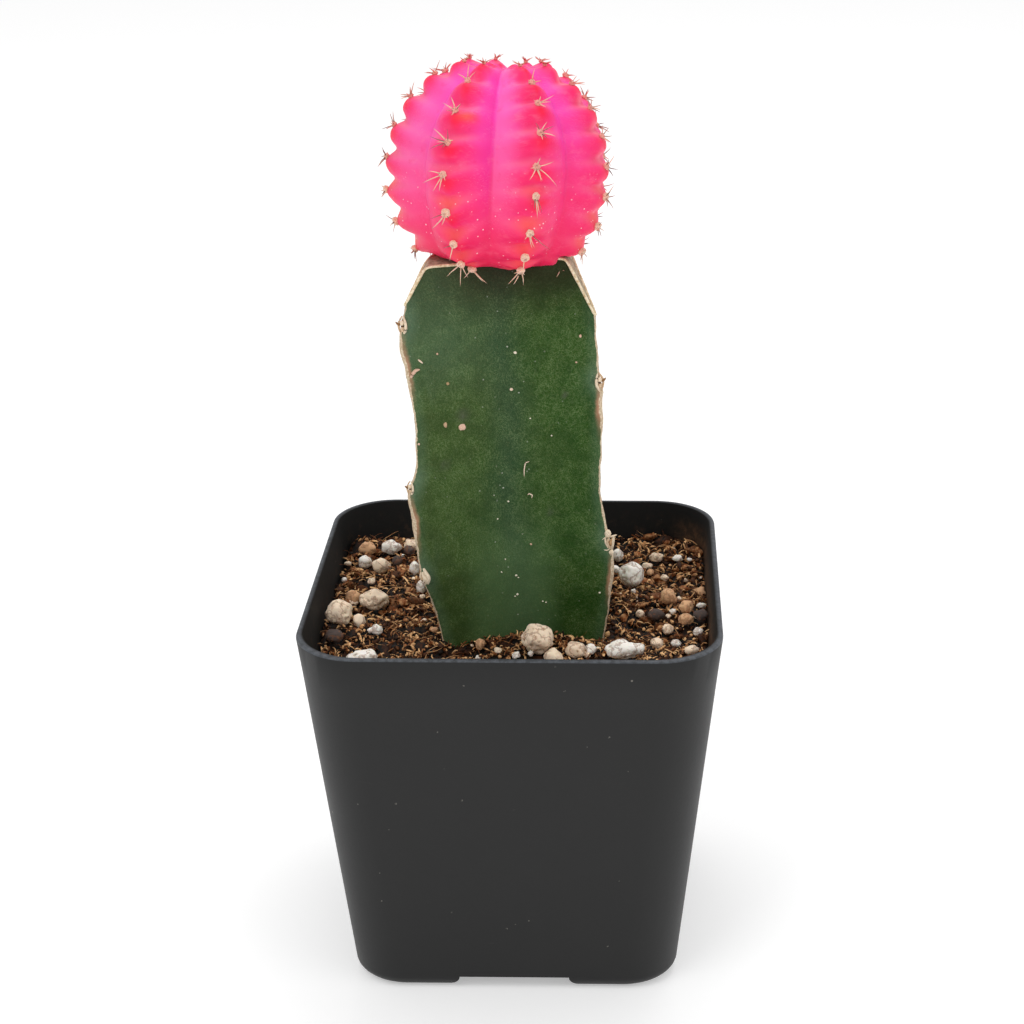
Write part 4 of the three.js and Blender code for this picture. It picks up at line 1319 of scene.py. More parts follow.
@dataclass
class NurseryPot:
    """The square pot of matt charcoal plastic."""

    rim_half: float = 32.5
    height: float = 61.5
    base_half: float = 26.2
    wall: float = 0.95
    corner_ratio: float = 0.31
    base_round: float = 2.5
    rim_round: float = 0.35
    foot_height: float = 2.3
    floor_thickness: float = 1.1
    notch_top: float = 17.5
    notch_bottom: float = 21.8
    drain_radius: float = 3.4
    drain_offset: float = 15.5
    corner_steps: int = 16
    side_steps: int = 12
    crease: float = 35

    def half_width(self, z: float) -> float:
        """Return half the pot's width at a height."""
        share = (z - self.base_round) / (self.height - self.base_round)
        return lerp(self.base_half, self.rim_half, clamp(share))

    def profile(self) -> list[tuple[float, float]]:
        """Return the wall's section, as half width and height, from under the floor round to its top."""
        turns = [k / 8 * pi / 2 for k in range(9)]
        base = self.half_width(self.base_round) - self.base_round
        top = self.height - self.rim_round
        walls = [lerp(self.base_round, top, k / 10) for k in range(1, 10)]
        floor = self.foot_height + self.floor_thickness
        inner = self.rim_half - self.wall
        return [
            *((0, 0), (base * 0.5, 0)),
            *((base + self.base_round * sin(t), self.base_round * (1 - cos(t))) for t in turns),
            *((self.half_width(z), z) for z in walls),
            *((self.rim_half, top), (self.rim_half - 0.1, self.height - 0.1)),
            (self.rim_half - self.rim_round, self.height),
            *((inner + 0.3, self.height), (inner + 0.08, self.height - 0.08), (inner, top)),
            *((self.half_width(z) - self.wall, z) for z in (52.0, 40.0, 25.0, floor + 1.5)),
            *((self.half_width(floor) - self.wall - 1.2, floor), (self.base_half * 0.5, floor), (0, floor)),
        ]

    def corner(self, share: float) -> Vector:
        """Return the outline of a unit rounded square at a share of the way round."""
        per_quarter = self.corner_steps + self.side_steps
        quarter, k = divmod(round(share * 4 * per_quarter), per_quarter)
        quarter %= 4
        middle = (quarter + 0.5) * pi / 2
        reach = sqrt(2) * (1 - self.corner_ratio)
        centre = Vector((reach * cos(middle), reach * sin(middle), 0))
        turn = (quarter + min(k / self.corner_steps, 1)) * pi / 2
        length = 2 * (1 - self.corner_ratio) * max(k - self.corner_steps, 0) / self.side_steps
        return centre + level(turn) * self.corner_ratio + leftward(level(turn)) * length

    def build(self) -> None:
        """Build and dress the pot."""
        mesh = bmesh.new()
        profile = self.profile()
        along = len(profile) - 1
        for point, share, turn in sheet(mesh, along, 4 * (self.corner_steps + self.side_steps)):
            half, z = profile[round(share * along)]
            point.co = self.corner(turn) * half + UP * z
        tidy(mesh)
        body = carve(mesh, [self.channel(0), self.channel(90), self.drains()])
        # inner marks the inside walls, which the finish darkens with painted shade and dusts with soil.
        inner = body.verts.layers.float.new("inner")
        for point in body.verts:
            depth = self.half_width(point.co.z) - self.around_point(point.co.x, point.co.y)
            inside = point.co.z > self.foot_height + 0.5 * self.floor_thickness
            point[inner] = smoothstep(depth, 0.5 * self.wall, 0.9 * self.wall) if inside else 0.0
        publish("nursery_pot", body, [PotPlastic().build()], ["pot"], self.crease)

    def around_point(self, x: float, y: float) -> float:
        """Return half the width of the rounded square whose outline passes through a place."""
        long, short = max(abs(x), abs(y)), min(abs(x), abs(y))
        straight = 1 - self.corner_ratio
        if short <= straight * long:
            return long
        square = 2 * straight**2 - self.corner_ratio**2
        middle = straight * (long + short)
        return (middle - sqrt(max(0.0, middle**2 - square * (long**2 + short**2)))) / square

    def channel(self, turn: float) -> Mesh:
        """Return the cutter for one channel across the base, turned by an angle in degrees."""
        mesh = block(2, 6)
        for point in mesh.verts:
            z = lerp(-1, self.foot_height, point.co.z + 0.5)
            flare = (1 - clamp(z / self.foot_height)) ** 2
            half = lerp(self.notch_top, self.notch_bottom, flare) / 2
            point.co = (copysign(half, point.co.x), point.co.y * 2.2 * self.rim_half, z)
        bmesh.ops.rotate(mesh, verts=mesh.verts, matrix=Matrix.Rotation(radians(turn), 3, "Z"))
        return mesh

    def drains(self) -> Mesh:
        """Return the cutter for the drain holes."""
        mesh = bmesh.new()
        rod = {"cap_ends": True, "segments": 32, "depth": 12}
        rod |= {"radius1": self.drain_radius, "radius2": self.drain_radius}
        for x, y in ((0, 0), (1, 0), (-1, 0), (0, 1), (0, -1)):
            place = Matrix.Translation((x * self.drain_offset, y * self.drain_offset, 0))
            bmesh.ops.create_cone(mesh, matrix=place, **rod)
        return mesh


def carve(mesh: Mesh, cutters: Sequence[Mesh]) -> Mesh:
    """Return what is left of a solid when other shapes are cut out of it. All of them are used up."""
    body, *others = [show("carving", mesh_data("carving", source)) for source in (mesh, *cutters)]
    for cutter in others:
        boolean = body.modifiers.new("cut", "BOOLEAN")
        boolean.operation = "DIFFERENCE"
        boolean.solver = "EXACT"
        boolean.object = cutter
    result = bmesh.new()
    result.from_object(body, bpy.context.evaluated_depsgraph_get())
    for shape in (body, *others):
        bpy.data.objects.remove(shape)
    return result


# Mix


# The mix's hills, each as its height, its middle and how far it spreads: a mound against the stem's front
# face, the lower mix all round it, a bank along the front wall and a heap in the left back corner.
HILLS = (
    (1.9, (3, -14), (9, 4.5)),
    (-1.7, (1.4, -12), (18, 9)),
    (1.0, (7, -18.5), (5, 2.5)),
    (1.1, (-28.5, 25), (4, 5)),
)


@dataclass(frozen=True)
class Chunk:
    """One sort of lumps in the mix.

    Attributes:
        rise: The range of its height over the crust.
        size: The range of its size.
        stretch: The range of its form along each axis, as a share of the size.
        tilt: The range of its tilt about each axis, in radians.
        ridges: The height and the fineness of each layer of its ridges.
        grows: The factor on its size at the front and at the back.
    """

    rise: tuple[float, float]
    size: tuple[float, float]
    stretch: Knots
    tilt: Knots
    ridges: Knots
    grows: tuple[float, float] = (1.0, 1.0)


ANY_TURN = (0, 6.28)
CLOD = Chunk(
    (-0.6, -0.05),
    (0.4, 1.15),
    ((0.9, 1.6), (0.5, 1.0), (0.35, 0.7)),
    ((-0.6, 0.6), (-0.6, 0.6), ANY_TURN),
    ((0.6, 1.2), (0.6, 3.4)),
    (0.7, 1.25),
)
CRUMB = Chunk(
    (-0.1, 0.3),
    (0.12, 0.5),
    ((0.6, 1.5), (0.5, 1.2), (0.4, 0.9)),
    (ANY_TURN, ANY_TURN, ANY_TURN),
    ((0.4, 1.4),),
)


@dataclass
class PottingMix:
    """The coir and bark mix that fills the pot, with its chips, curls, fibres and crumbs."""

    stem: StemShape
    pot: NurseryPot
    stones: Sequence[tuple[float, float, float]]
    level: float = 54.9
    clearance: float = 0.35
    rings: int = 64
    wall_rings: int = 8
    sides: int = 200
    dish: float = 0.6
    sunk: float = 0.35
    wall_gap: float = 0.3
    touch: float = 0.06
    stem_share: float = 0.93
    stone_share: float = 0.85
    clods: int = 650
    curls: int = 5200
    crumbs: int = 2600
    fibres: int = 700

    def height(self, x: float, y: float) -> float:
        """Return the height of the mix at a place."""
        hills = (rise * bump(x, at[0], run[0]) * bump(y, at[1], run[1]) for rise, at, run in HILLS)
        return self.level + 0.8 * ripple(x, y, 22, 5) + 0.55 * ripple(x, y, 5.5, 9) + sum(hills)

    def clear_of_stones(self, x: float, y: float) -> float:
        """Return how far the nearest stone's middle is, in its own radii."""
        return min(hypot(x - stone[0], y - stone[1]) / stone[2] for stone in self.stones)

    def crust(self, x: float, y: float) -> float:
        """Return the height of the rough top, which dips round every stone."""
        lumps = rough(Vector((x, y, 3.0)), 2.4, 4)
        dish = self.dish * smoothstep(-self.clear_of_stones(x, y), -1.5, -1.0)
        return self.height(x, y) - self.sunk + 0.7 * lumps - dish

    def spot(self, draws: Draws) -> Vector:
        """Return a place on the crust, inside the pot and outside the stem and the stones, drawn evenly."""
        half = self.pot.half_width(self.level) - self.pot.wall - self.wall_gap
        corner = (1 - self.pot.corner_ratio) * half
        while True:
            x, y = draws.several((-half, half), (-half, half))
            local = self.stem.back_to_local @ Vector((x, y, self.level))
            if hypot(local.x, local.y) < self.stem_share * self.stem.reach_towards(local.x, local.y, 0.0):
                continue
            if min(abs(x), abs(y)) > corner and hypot(abs(x) - corner, abs(y) - corner) > half - corner:
                continue
            if self.clear_of_stones(x, y) > self.stone_share:
                return Vector((x, y, self.crust(x, y)))

    def inside(self, point: Vector) -> Vector:
        """Return a point, drawn back to the wall where it would stick through it."""
        half = self.pot.half_width(point.z) - self.pot.wall - self.touch
        corner = (1 - self.pot.corner_ratio) * half
        over = Vector((max(0.0, abs(point.x) - corner), max(0.0, abs(point.y) - corner), 0))
        if over.length > half - corner:
            over *= (half - corner) / over.length
        x, y = (copysign(min(abs(point[axis]), corner) + over[axis], point[axis]) for axis in (0, 1))
        return Vector((x, y, point.z))

    def build(self) -> None:
        """Build and dress the mix."""
        self.bed()
        self.litter()

    def bed(self) -> None:
        """Build the body of the mix, with its rough top."""
        mesh = bmesh.new()
        tone = mesh.verts.layers.float.new("tone")
        rows = self.rings + self.wall_rings
        floor = self.pot.foot_height + self.pot.floor_thickness + self.clearance
        margin = self.pot.wall + self.clearance
        for point, along, turn in sheet(mesh, rows, self.sides):
            row = round(along * rows)
            corner = self.pot.corner(turn % 1.0)
            if row <= self.rings:
                x, y, _ = corner * (self.pot.half_width(self.level) - margin) * (row / self.rings)
                fine = rough(Vector((x, y, 9.0)), 0.9, 2)
                point.co = (x, y, self.crust(x, y) - 0.15 + 0.25 * fine)
                # The bed's low tone is the mix's dark brown, darkened further with painted shade for the gaps
                # between the pieces.
                point[tone] = 0.1 + 0.4 * fine
            else:
                down = min(1.0, (row - self.rings) / (self.wall_rings - 1))
                z = lerp(self.level - 1.5, floor, down)
                point.co = corner * ((self.pot.half_width(z) - margin) if row < rows else 0.0) + UP * z
        tidy(mesh)
        publish("mix_bed", mesh, [Soil().build()], ["potting_mix"])

    def litter(self) -> None:
        """Build the loose shavings, crumbs and fibres on the mix."""
        finish = Soil().build()
        draws = Draws(909)
        bark, shavings, loose = bmesh.new(), bmesh.new(), bmesh.new()
        clod, crumb = (partial(self.lump, kind) for kind in (CLOD, CRUMB))
        self.scatter(bark, draws, self.clods, ball_stamp(2), clod, (0.2, 0.6))
        self.scatter(shavings, draws, self.curls, Stamp(block(0, 3)), self.curl)
        self.scatter(loose, draws, self.crumbs, ball_stamp(1), crumb)
        self.scatter(loose, draws, self.fibres, strip_stamp(6, 4), self.fibre)
        for name, mesh in (("mix_bark", bark), ("mix_shavings", shavings), ("mix_crumbs", loose)):
            publish(name, mesh, [finish])

    def scatter(
        self,
        mesh: Mesh,
        draws: Draws,
        count: int,
        piece: Stamp,
        shape: Callable[[Draws, Vector], Mover],
        tones: tuple[float, float] = (0.05, 1.0),
    ) -> None:
        """Lay many pieces of one sort on the crust.

        Args:
            mesh: The mesh that they are added to.
            draws: Gives their places, forms and tones.
            count: How many there are.
            piece: The stamp that they are pressed from.
            shape: Gives the mover of a piece from its place.
            tones: The darkest and the palest of them.
        """

        def lit(spot: Vector) -> float:
            """Return how much painted glint a piece takes at a spot: most at its raised edges."""
            return 1.0 if abs(spot.y) > 0.4 and spot.z > 0 else 0.3

        for _ in range(count):
            move = shape(draws, self.spot(draws))
            piece.press(mesh, lambda spot: self.inside(move(spot)), tone=draws.between(*tones), lit=lit)
        tidy(mesh)

    def lump(self, kind: Chunk, draws: Draws, spot: Vector) -> Mover:
        """Return the mover of one torn lump of a kind."""
        ground = spot + UP * draws.between(*kind.rise)
        size = draws.between(*kind.size) * lerp(*kind.grows, smoothstep(spot.y, -20, 5))
        stretch = Vector(draws.several(*kind.stretch)) * size
        turn = Euler(draws.several(*kind.tilt)).to_matrix()
        seed = draws.direction() * 30

        def move(point: Vector) -> Vector:
            """Return a point of the lump, with its torn ridges."""
            bulge = 1 + sum(rise * noise.noise(point * fine + seed) for rise, fine in kind.ridges)
            return ground + turn @ times(point, stretch * bulge)

        return move

    def curl(self, draws: Draws, spot: Vector) -> Mover:
        """Return the mover of one curled shaving."""
        ground = spot + UP * draws.between(0.0, 0.6)
        length = draws.between(0.7, 2.4) * lerp(1.15, 0.85, smoothstep(-spot.y, -5, 14))
        width = draws.between(0.12, 0.44)
        bend = draws.between(1.0, 4.0) * (1 if draws.share() > 0.25 else 0.25)
        turn = Euler(draws.several((-1.1, 1.1), (-0.8, 0.8), ANY_TURN)).to_matrix()
        twist, thickness = draws.several((-0.8, 0.8), (0.05, 0.13))
        radius = length / bend

        def move(point: Vector) -> Vector:
            """Return a point of the shaving."""
            angle = point.x * bend
            out = radius + point.z * thickness
            across = point.y * width * (1 - point.x**2) + twist * point.x * width
            return ground + turn @ Vector((out * sin(angle), across, out * cos(angle) - radius))

        return move

    def fibre(self, draws: Draws, spot: Vector) -> Mover:
        """Return the mover of one fibre."""
        start = spot + UP * draws.between(-0.1, 0.4)
        angle, length, rise = draws.several(ANY_TURN, (1.2, 4.2), (-0.1, 0.4))
        heading = (level(angle) + UP * rise).normalized() * length
        sway = draws.direction() * draws.between(0.1, 0.35) * length
        thickness = draws.between(0.03, 0.075)
        return along_cord(
            lambda share: start + heading * share + sway * sin(pi * share),
            lambda share: thickness * (1 - 0.6 * share) if 0.01 < share < 0.99 else 0.003,
        )


# Grit


class Rock(Enum):
    """The kinds of grit, each with its slot, its lighter and its darker colour."""

    PALE = ("grit_pale", "fffaf0", "d8bf9f")
    CREAM = ("grit_cream", "ffe8cc", "cf9f74")
    TAN = ("grit_tan", "dfb085", "8a5c3a")
    SLATE = ("grit_slate", "4f423d", "241b18")


def spans(mesh: Mesh) -> list[float]:
    """Return a mesh's size along each axis."""
    places = [[point.co[axis] for point in mesh.verts] for axis in range(3)]
    return [max(values) - min(values) for values in places]


def middle_of(mesh: Mesh) -> Vector:
    """Return the mean of a mesh's points."""
    return sum((point.co for point in mesh.verts), Vector()) / len(mesh.verts)


@dataclass
class Grit:
    """The stones that lie half sunk in the mix."""

    kinds: Sequence[tuple[Rock, Sequence[int]]] = (
        (Rock.PALE, (1, 7, 9, 14, 15, 18, 20, 23, 24, 29, 31, 33)),
        (Rock.CREAM, (2, 3, 4, 5, 6, 8, 16, 19, 21, 26, 27, 28, 34)),
        (Rock.TAN, (10, 12, 13, 17, 25, 32)),
        (Rock.SLATE, (11, 22, 30)),
    )
    swell: float = 1.1
    smoothings: int = 3
    few_faces: int = 150

    def footprints(self) -> list[tuple[float, float, float]]:
        """Return the place and the radius of every packed stone and every loose bit."""
        found = [(x, y, size / 2) for bits in BITS.values() for x, y, size in bits]
        for _, numbers in self.kinds:
            for number in numbers:
                corners = bpy.data.objects[f"stone_{number:02d}"].bound_box
                low, high = (Vector(corners[k]) / MM for k in (0, 6))
                size = high - low
                found.append((low.x + size.x / 2, low.y + size.y / 2, (size.x + size.y) / 4))
        return found

    def build(self, mix: PottingMix) -> None:
        """Build and dress every stone, and the loose bits that lie on the mix."""
        for kind, numbers in self.kinds:
            finish = Stone(kind).build()
            for number in numbers:
                self.stone(number, kind, finish)
            self.bits(kind, mix, finish)

    def bits(self, kind: Rock, mix: PottingMix, finish: Material) -> None:
        """Build the loose bits of one kind, a few of them flat."""
        mesh = bmesh.new()
        draws = Draws(60 + len(kind.name))
        grain = ball_stamp(3)
        for x, y, size in BITS[kind]:
            middle = Vector((x, y, mix.height(x, y) - 0.25 + 0.36 * size))
            stretch = Vector(draws.several((0.9, 1.15), (0.75, 1.0), (0.6, 0.85))) * size / 2
            round_z, tilt = draws.several((0, 3.14), (-0.5, 0.5))
            turn = Euler((tilt, 0, round_z)).to_matrix()
            seed = draws.direction() * 40

            def lump(spot: Vector) -> float:
                """Return how far a bit's surface rises or falls at a spot of the unit ball."""
                return 0.32 * noise.noise(spot * 1.3 + seed) + 0.12 * noise.noise(spot * 4 + seed)

            grain.press(
                mesh,
                lambda spot: middle + turn @ times(spot, stretch) * (1 + lump(spot)),
                pit=lambda spot: clamp(0.3 - 1.6 * lump(spot)),
            )
        tidy(mesh)
        publish(f"bits_{kind.name.lower()}", mesh, [finish])

    def stone(self, number: int, kind: Rock, finish: Material) -> None:
        """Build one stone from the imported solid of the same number."""
        node = f"stone_{number:02d}"
        mesh = bmesh.new()
        mesh.from_mesh(bpy.data.objects[node].data)
        mesh.transform(Matrix.Scale(1 / MM, 4))
        bmesh.ops.remove_doubles(mesh, verts=mesh.verts, dist=1e-3)
        sizes = spans(mesh)
        cuts = 3 if len(mesh.faces) < self.few_faces else 2
        bmesh.ops.subdivide_edges(mesh, edges=mesh.edges, cuts=cuts, use_grid_fill=True)
        bmesh.ops.triangulate(mesh, faces=mesh.faces)
        axes = {"use_axis_x": True, "use_axis_y": True, "use_axis_z": True}
        for _ in range(self.smoothings):
            bmesh.ops.smooth_vert(mesh, verts=mesh.verts, factor=0.5, **axes)
        mesh.normal_update()
        centre = middle_of(mesh)
        size = max((point.co - centre).length for point in mesh.verts)
        pit = mesh.verts.layers.float.new("pit")
        seed = Vector((number * 3.7, number * 1.3, 0))
        for point in mesh.verts:
            lumps = rough(point.co + seed, size * 0.75, 3)
            fine = rough(point.co + seed, size * 0.22, 3)
            hollow = smoothstep(noise.noise((point.co + seed) / (size * 0.26)), 0.15, 0.5)
            point[pit] = clamp(0.6 * hollow + 0.2 - 0.4 * lumps)
            point.co += point.normal * size * (0.16 * lumps + 0.02 * fine - 0.07 * hollow)
        scale = [self.swell * wanted / got for wanted, got in zip(sizes, spans(mesh))]
        middle = middle_of(mesh)
        for point in mesh.verts:
            point.co = centre + times(point.co - middle, scale)
        publish(f"grit_{number:02d}", mesh, [finish], [node])


# Loose bits of grit, too small to be packed: x and y, and size.
BITS = {
    Rock.PALE: (
        *((12.2, -16.6, 2), (15.7, 15.9, 1.6), (28.3, 20.6, 1), (26.3, 20.3, 1.5), (25.2, -1.3, 1.1)),
        *((29.8, 0.6, 1.4), (-20.9, 22.3, 0.7), (-29.6, 11.4, 1.1), (-22.7, -9.7, 1.2), (2.9, -17.2, 1.1)),
        *((0.6, -17.4, 1.3), (-5.3, -16.3, 0.9), (28.9, -3, 0.9), (25.7, 25, 0.5), (30.1, 15.3, 0.5)),
        (18.8, 5.3, 0.9),
    ),
    Rock.CREAM: (
        *((11.6, -17.7, 1.3), (-27.3, 3.8, 1.9), (21.1, 20.3, 1.6), (24, 14.1, 1.6), (19.9, -1.1, 1.5)),
        *((-24.9, 10.4, 1.6), (-29.8, 18.3, 1.2), (-17.9, 11.9, 1), (-15.9, 4.8, 0.9), (-15, -2.4, 1.2)),
        *((-2.3, -15.4, 1.3), (-6.6, -12.2, 0.6), (13.3, -15.9, 0.8), (19.3, 3.9, 0.45), (19.3, 2.8, 0.45)),
        *((22.9, 5.8, 0.5), (16.7, 4.9, 0.4), (16.1, 4.1, 0.4), (26.3, 3.8, 0.9), (24.4, -2.2, 1.1)),
        (27.6, 14.4, 0.8),
    ),
    Rock.TAN: (
        *((-12.9, -7.2, 1.4), (-19.6, 12.6, 0.7), (22.1, -0.7, 1.5)),
        *((21.6, 16.5, 1.5), (29.7, 8.2, 2.1)),
    ),
    Rock.SLATE: ((-19.9, 23.8, 2.2), (29.7, -3.7, 2.3)),
}


# Finishes


@dataclass(frozen=True)
class BallSkin:
    """The ball's satin pink skin."""

    flank: str = "fb3a80"
    violet: str = "f64cba"
    light: str = "ff7ec2"
    painted_shadow: str = "f6125c"
    coral: str = "fb1a48"
    orange: str = "ff5f42"
    crimson: str = "dd0f40"
    painted_highlight: str = "ff92a8"
    nest: str = "f04a5e"
    seam_lit: str = "ff86c6"
    seam_dim: str = "ee1f96"
    streak: str = "ffa6cf"
    blotch: str = "f0145e"
    thin: str = "ff86a8"
    low: str = "fb2c5e"
    right: str = "f3205c"
    speck: str = "ffeef0"
    dust: str = "7a4a3a"

    def build(self) -> Material:
        """Return the material."""
        graph = Graph(
            "scion_skin",
            Subsurface_Weight=0.2,
            Subsurface_Radius=(1.0, 0.25, 0.35),
            Subsurface_Scale=0.0011,
            Specular_IOR_Level=0.2,
        )
        off, rise, near, under, ledge = graph.attributes("off", "rise", "near", "under", "ledge")
        ridge, red, glow, lit, dim = graph.attributes("ridge", "red", "glow", "lit", "dim")
        x = graph.axes()[0]
        cloud, fine = graph.grain(4.0), graph.grain(0.45, 5, 0.65)
        upper = off.step(0.15, 0.85) * rise.step(-0.15, 0.5)
        left = x.step(-5.0, -15.0) * rise.step(-0.6, 0.2) * off.step(0.1, 0.8)
        streaks = graph.strokes(1.9, 0.18, (14, 30, 168))
        faded = graph.grain(2.6, 3).step(0.4, 0.62)
        blotches = graph.grain(1.5, 4, 0.6).step(0.55, 0.75)
        thin = graph.grain(2.2, 3, 0.6, (1.2, 1.2, 0.7)).step(0.56, 0.74)
        scarce = (fine + rise.step(-0.3, -0.7) * x.step(-4.0, 8.0) * 0.14).step(0.44, 0.54)
        specks = graph.cells(0.95).step(0.15, 0.08) * rise.step(0.15, -0.3) * scarce
        dirt = rise.step(-0.74, -0.88) * cloud.step(0.35, 0.6)
        colour = graph.coats(
            self.flank,
            (rise.step(-0.15, -0.7), self.crimson),
            (upper * (0.6 + 0.6 * cloud), self.violet),
            (left * 0.5, self.light),
            # painted shadow band below each areole
            (under * (0.3 + 0.7 * cloud), self.painted_shadow),
            # painted highlight on each areole's ledge
            (ledge * (0.15 + 0.35 * cloud), self.painted_highlight),
            # painted highlight along the crests
            (ridge * (0.3 + 0.6 * fine), self.painted_highlight),
            (red * (0.75 + 0.4 * cloud), self.coral),
            (glow * 0.7, self.orange),
            (near.step(0.35, 0.9) * 0.4, self.nest),
            # painted light and painted shade either side of the front seam
            (lit * 0.34, self.seam_lit),
            (dim * 0.5, self.seam_dim),
            (streaks * faded * off.step(0.06, 0.4) * 0.1, self.streak),
            (blotches * 0.3, self.blotch),
            (thin * 0.22, self.thin),
            (rise.step(-0.05, -0.5) * 0.35, self.low),
            (x.step(2.0, 13.0) * 0.16, self.right),
            (specks * 0.85, self.speck),
            (dirt * 0.5, self.dust),
        )
        height = fine * 0.45 + graph.cells(0.28) * 0.3 + streaks * 0.15
        return graph.finish(colour, 0.38 + 0.16 * fine + 0.2 * dirt, height, 0.07, 0.45)


@dataclass(frozen=True)
class Felt:
    """The areoles' cream felt."""

    pale: str = "ffe0c4"
    shade: str = "eda58c"
    young: str = "f08e86"
    eye: str = "8a2436"

    def build(self) -> Material:
        """Return the material."""
        graph = Graph("areole_wool", Subsurface_Weight=0.15, Subsurface_Scale=0.0004, Sheen_Weight=0.3)
        upper, eye = graph.attributes("upper", "eye")
        tuft = graph.grain(0.16, 5, 0.7)
        colour = graph.coats(
            self.shade,
            (tuft.step(0.38, 0.6), self.pale),
            (upper * (0.9 - 0.5 * tuft), self.young),
            (eye * (0.4 + 0.6 * tuft), self.eye),
        )
        return graph.finish(colour, 0.85 + 0.1 * tuft, tuft, 0.16, 0.9)


@dataclass(frozen=True)
class SpineHorn:
    """The spines' translucent horn, darker at the root and the tip."""

    pale: str = "f0c6ab"
    dark: str = "6f3030"
    young: str = "e4765c"
    root: str = "541d20"
    grain: str = "ffe6d2"

    def build(self) -> Material:
        """Return the material."""
        graph = Graph("spine_horn", Subsurface_Weight=0.2, Subsurface_Scale=0.0003)
        tone, along, young = graph.attributes("tone", "along", "young")
        fine = graph.grain(0.3, 3)
        ends = along.step(0.3, 0.0) + along.step(0.72, 1.0) * 0.8
        colour = graph.coats(
            self.pale,
            (tone, self.dark),
            (young * 0.6, self.young),
            (ends * (0.35 + 0.5 * tone), self.root),
            (fine.step(0.5, 0.7) * 0.25, self.grain),
        )
        return graph.finish(colour, 0.35 + 0.2 * fine, fine, 0.03, 0.5)


@dataclass(frozen=True)
class StemSkin:
    """The stem's matt green skin, greyer to the left, with fine pale strokes and corky edges."""

    grey: str = "35491f"
    green: str = "1c3f07"
    patch: str = "42611f"
    furrow: str = "2c4636"
    bloom: str = "55705a"
    nest: str = "6c8873"
    stroke: str = "9fb481"
    dark: str = "1b3212"
    fleck: str = "d8dccb"
    stain: str = "55554b"
    worn: str = "c98f74"
    bark: str = "b39a7c"
    cork: str = "e4d3b8"
    middle: str = "5c7a50"
    shade: str = "241a10"

    def build(self) -> Material:
        """Return the material."""
        graph = Graph("stem_skin", Subsurface_Weight=0.06, Subsurface_Scale=0.001, Specular_IOR_Level=0.12)
        edge, high, furrow = graph.attributes("edge", "height", "furrow")
        areole, worn, stain = graph.attributes("areole", "worn", "stain")
        across = graph.axes()[0]
        cloud, fine = graph.grain(8.0, 4), graph.grain(0.35, 4, 0.7)
        side = (across / 30 + 0.5 + (cloud - 0.5) * 0.9).step(0.0, 1.0)
        patches = graph.grain(3.5, 3).step(0.35, 0.65)
        margin = edge.step(2.6, 0.5) * (0.3 + 0.8 * cloud)
        upper_left = high.step(0.62, 0.8) * across.step(0.0, -10.0)
        short = graph.strokes(0.6, 0.09, (8, 52, 97, 141))
        long = graph.strokes(1.2, 0.12, (28, 75, 120, 165))
        dark = graph.grain(1.3, 3).step(0.56, 0.74)
        flecks = graph.cells(1.6).step(0.1, 0.05) * fine.step(0.4, 0.55) * (0.3 + furrow)
        ragged = edge + (graph.grain(1.1, 4, 0.7) - 0.5) * 0.7 - worn * 0.35
        cork = ragged.step(0.3, 0.16)
        middle = high.step(0.4, 0.12) * (across * across).step(70.0, 8.0)
        # under: the ball's painted shadow on the stem's top, weaker to the left
        under = high.step(0.82, 0.99) * (0.7 + 0.5 * cloud) * (0.4 + 0.6 * across.step(-14.0, -3.0))
        colour = graph.coats(
            self.grey,
            (side, self.green),
            (patches * 0.22, self.patch),
            # painted shade down the front furrow
            (furrow * 0.45, self.furrow),
            (margin * 0.38, self.bloom),
            (areole * 0.45, self.nest),
            (upper_left * 0.3, self.bloom),
            ((short * 0.24 + long * 0.07) * (0.45 + 0.55 * patches), self.stroke),
            (dark * 0.28, self.dark),
            (flecks * 0.6, self.fleck),
            (stain * (0.3 + 0.5 * fine), self.stain),
            (worn * ragged.step(1.1, 0.3) * (0.4 + 0.5 * cloud), self.worn),
            (cork, graph.coats(self.bark, (fine.step(0.3, 0.7), self.cork))),
            (middle * 0.5, self.middle),
            (under * 0.8, self.shade),
        )
        height = fine * 0.4 + short * 0.3 + cork * 0.5
        return graph.finish(colour, 0.55 + 0.15 * fine + 0.2 * cork, height, 0.06, 0.5)


@dataclass(frozen=True)
class Crust:
    """A dry, grainy finish of the stem's cuts, corky areoles or scars.

    Attributes:
        name: The material's name.
        stops: Its colours, each with its place on the ramp.
        grain: The size, the detail and the roughness of its grain.
        roughness: The least roughness.
        depth: The depth of its relief, in millimetres.
        strength: How much of the relief shows.
        blur: How far the grain moves the tone that the mesh carries, or 0 where the grain alone counts.
        span: The grain's values at the two ends of the ramp, where it alone counts.
    """

    name: str
    stops: Sequence[tuple[float, str]]
    grain: tuple[float, float, float]
    roughness: float
    depth: float
    strength: float = 0.8
    blur: float = 0.0
    span: tuple[float, float] = (0.35, 0.65)

    def build(self) -> Material:
        """Return the material."""
        graph = Graph(self.name)
        fine = graph.grain(*self.grain)
        share = graph.attributes("tone")[0] + (fine - 0.5) * self.blur if self.blur else fine.step(*self.span)
        colour = graph.ramp(share, *self.stops)
        return graph.finish(colour, self.roughness + 0.1 * fine, fine, self.depth, self.strength)


FLESH = Crust("cut_flesh", ((0, "8b7e66"), (1, "c2b397")), (0.8, 5, 0.7), 0.75, 0.2)
CALLUS = Crust("callus", ((0, "c9ae80"), (1, "f6e8ca")), (0.5, 5, 0.65), 0.7, 0.12, span=(0.35, 0.62))
CORK_STOPS = ((0.1, "f0dcc0"), (0.55, "b98a58"), (0.95, "4a2f1c"))
CORK = Crust("areole_cork", CORK_STOPS, (0.35, 5, 0.7), 0.85, 0.2, 1.0, 0.5)
SCAR_STOPS = ((0.08, "f1e8d0"), (0.3, "dcb49c"), (0.6, "ab8f63"), (0.95, "39352c"))
SCAR = Crust("stem_scar", SCAR_STOPS, (0.25, 4, 0.6), 0.7, 0.1, 0.7, 0.4)


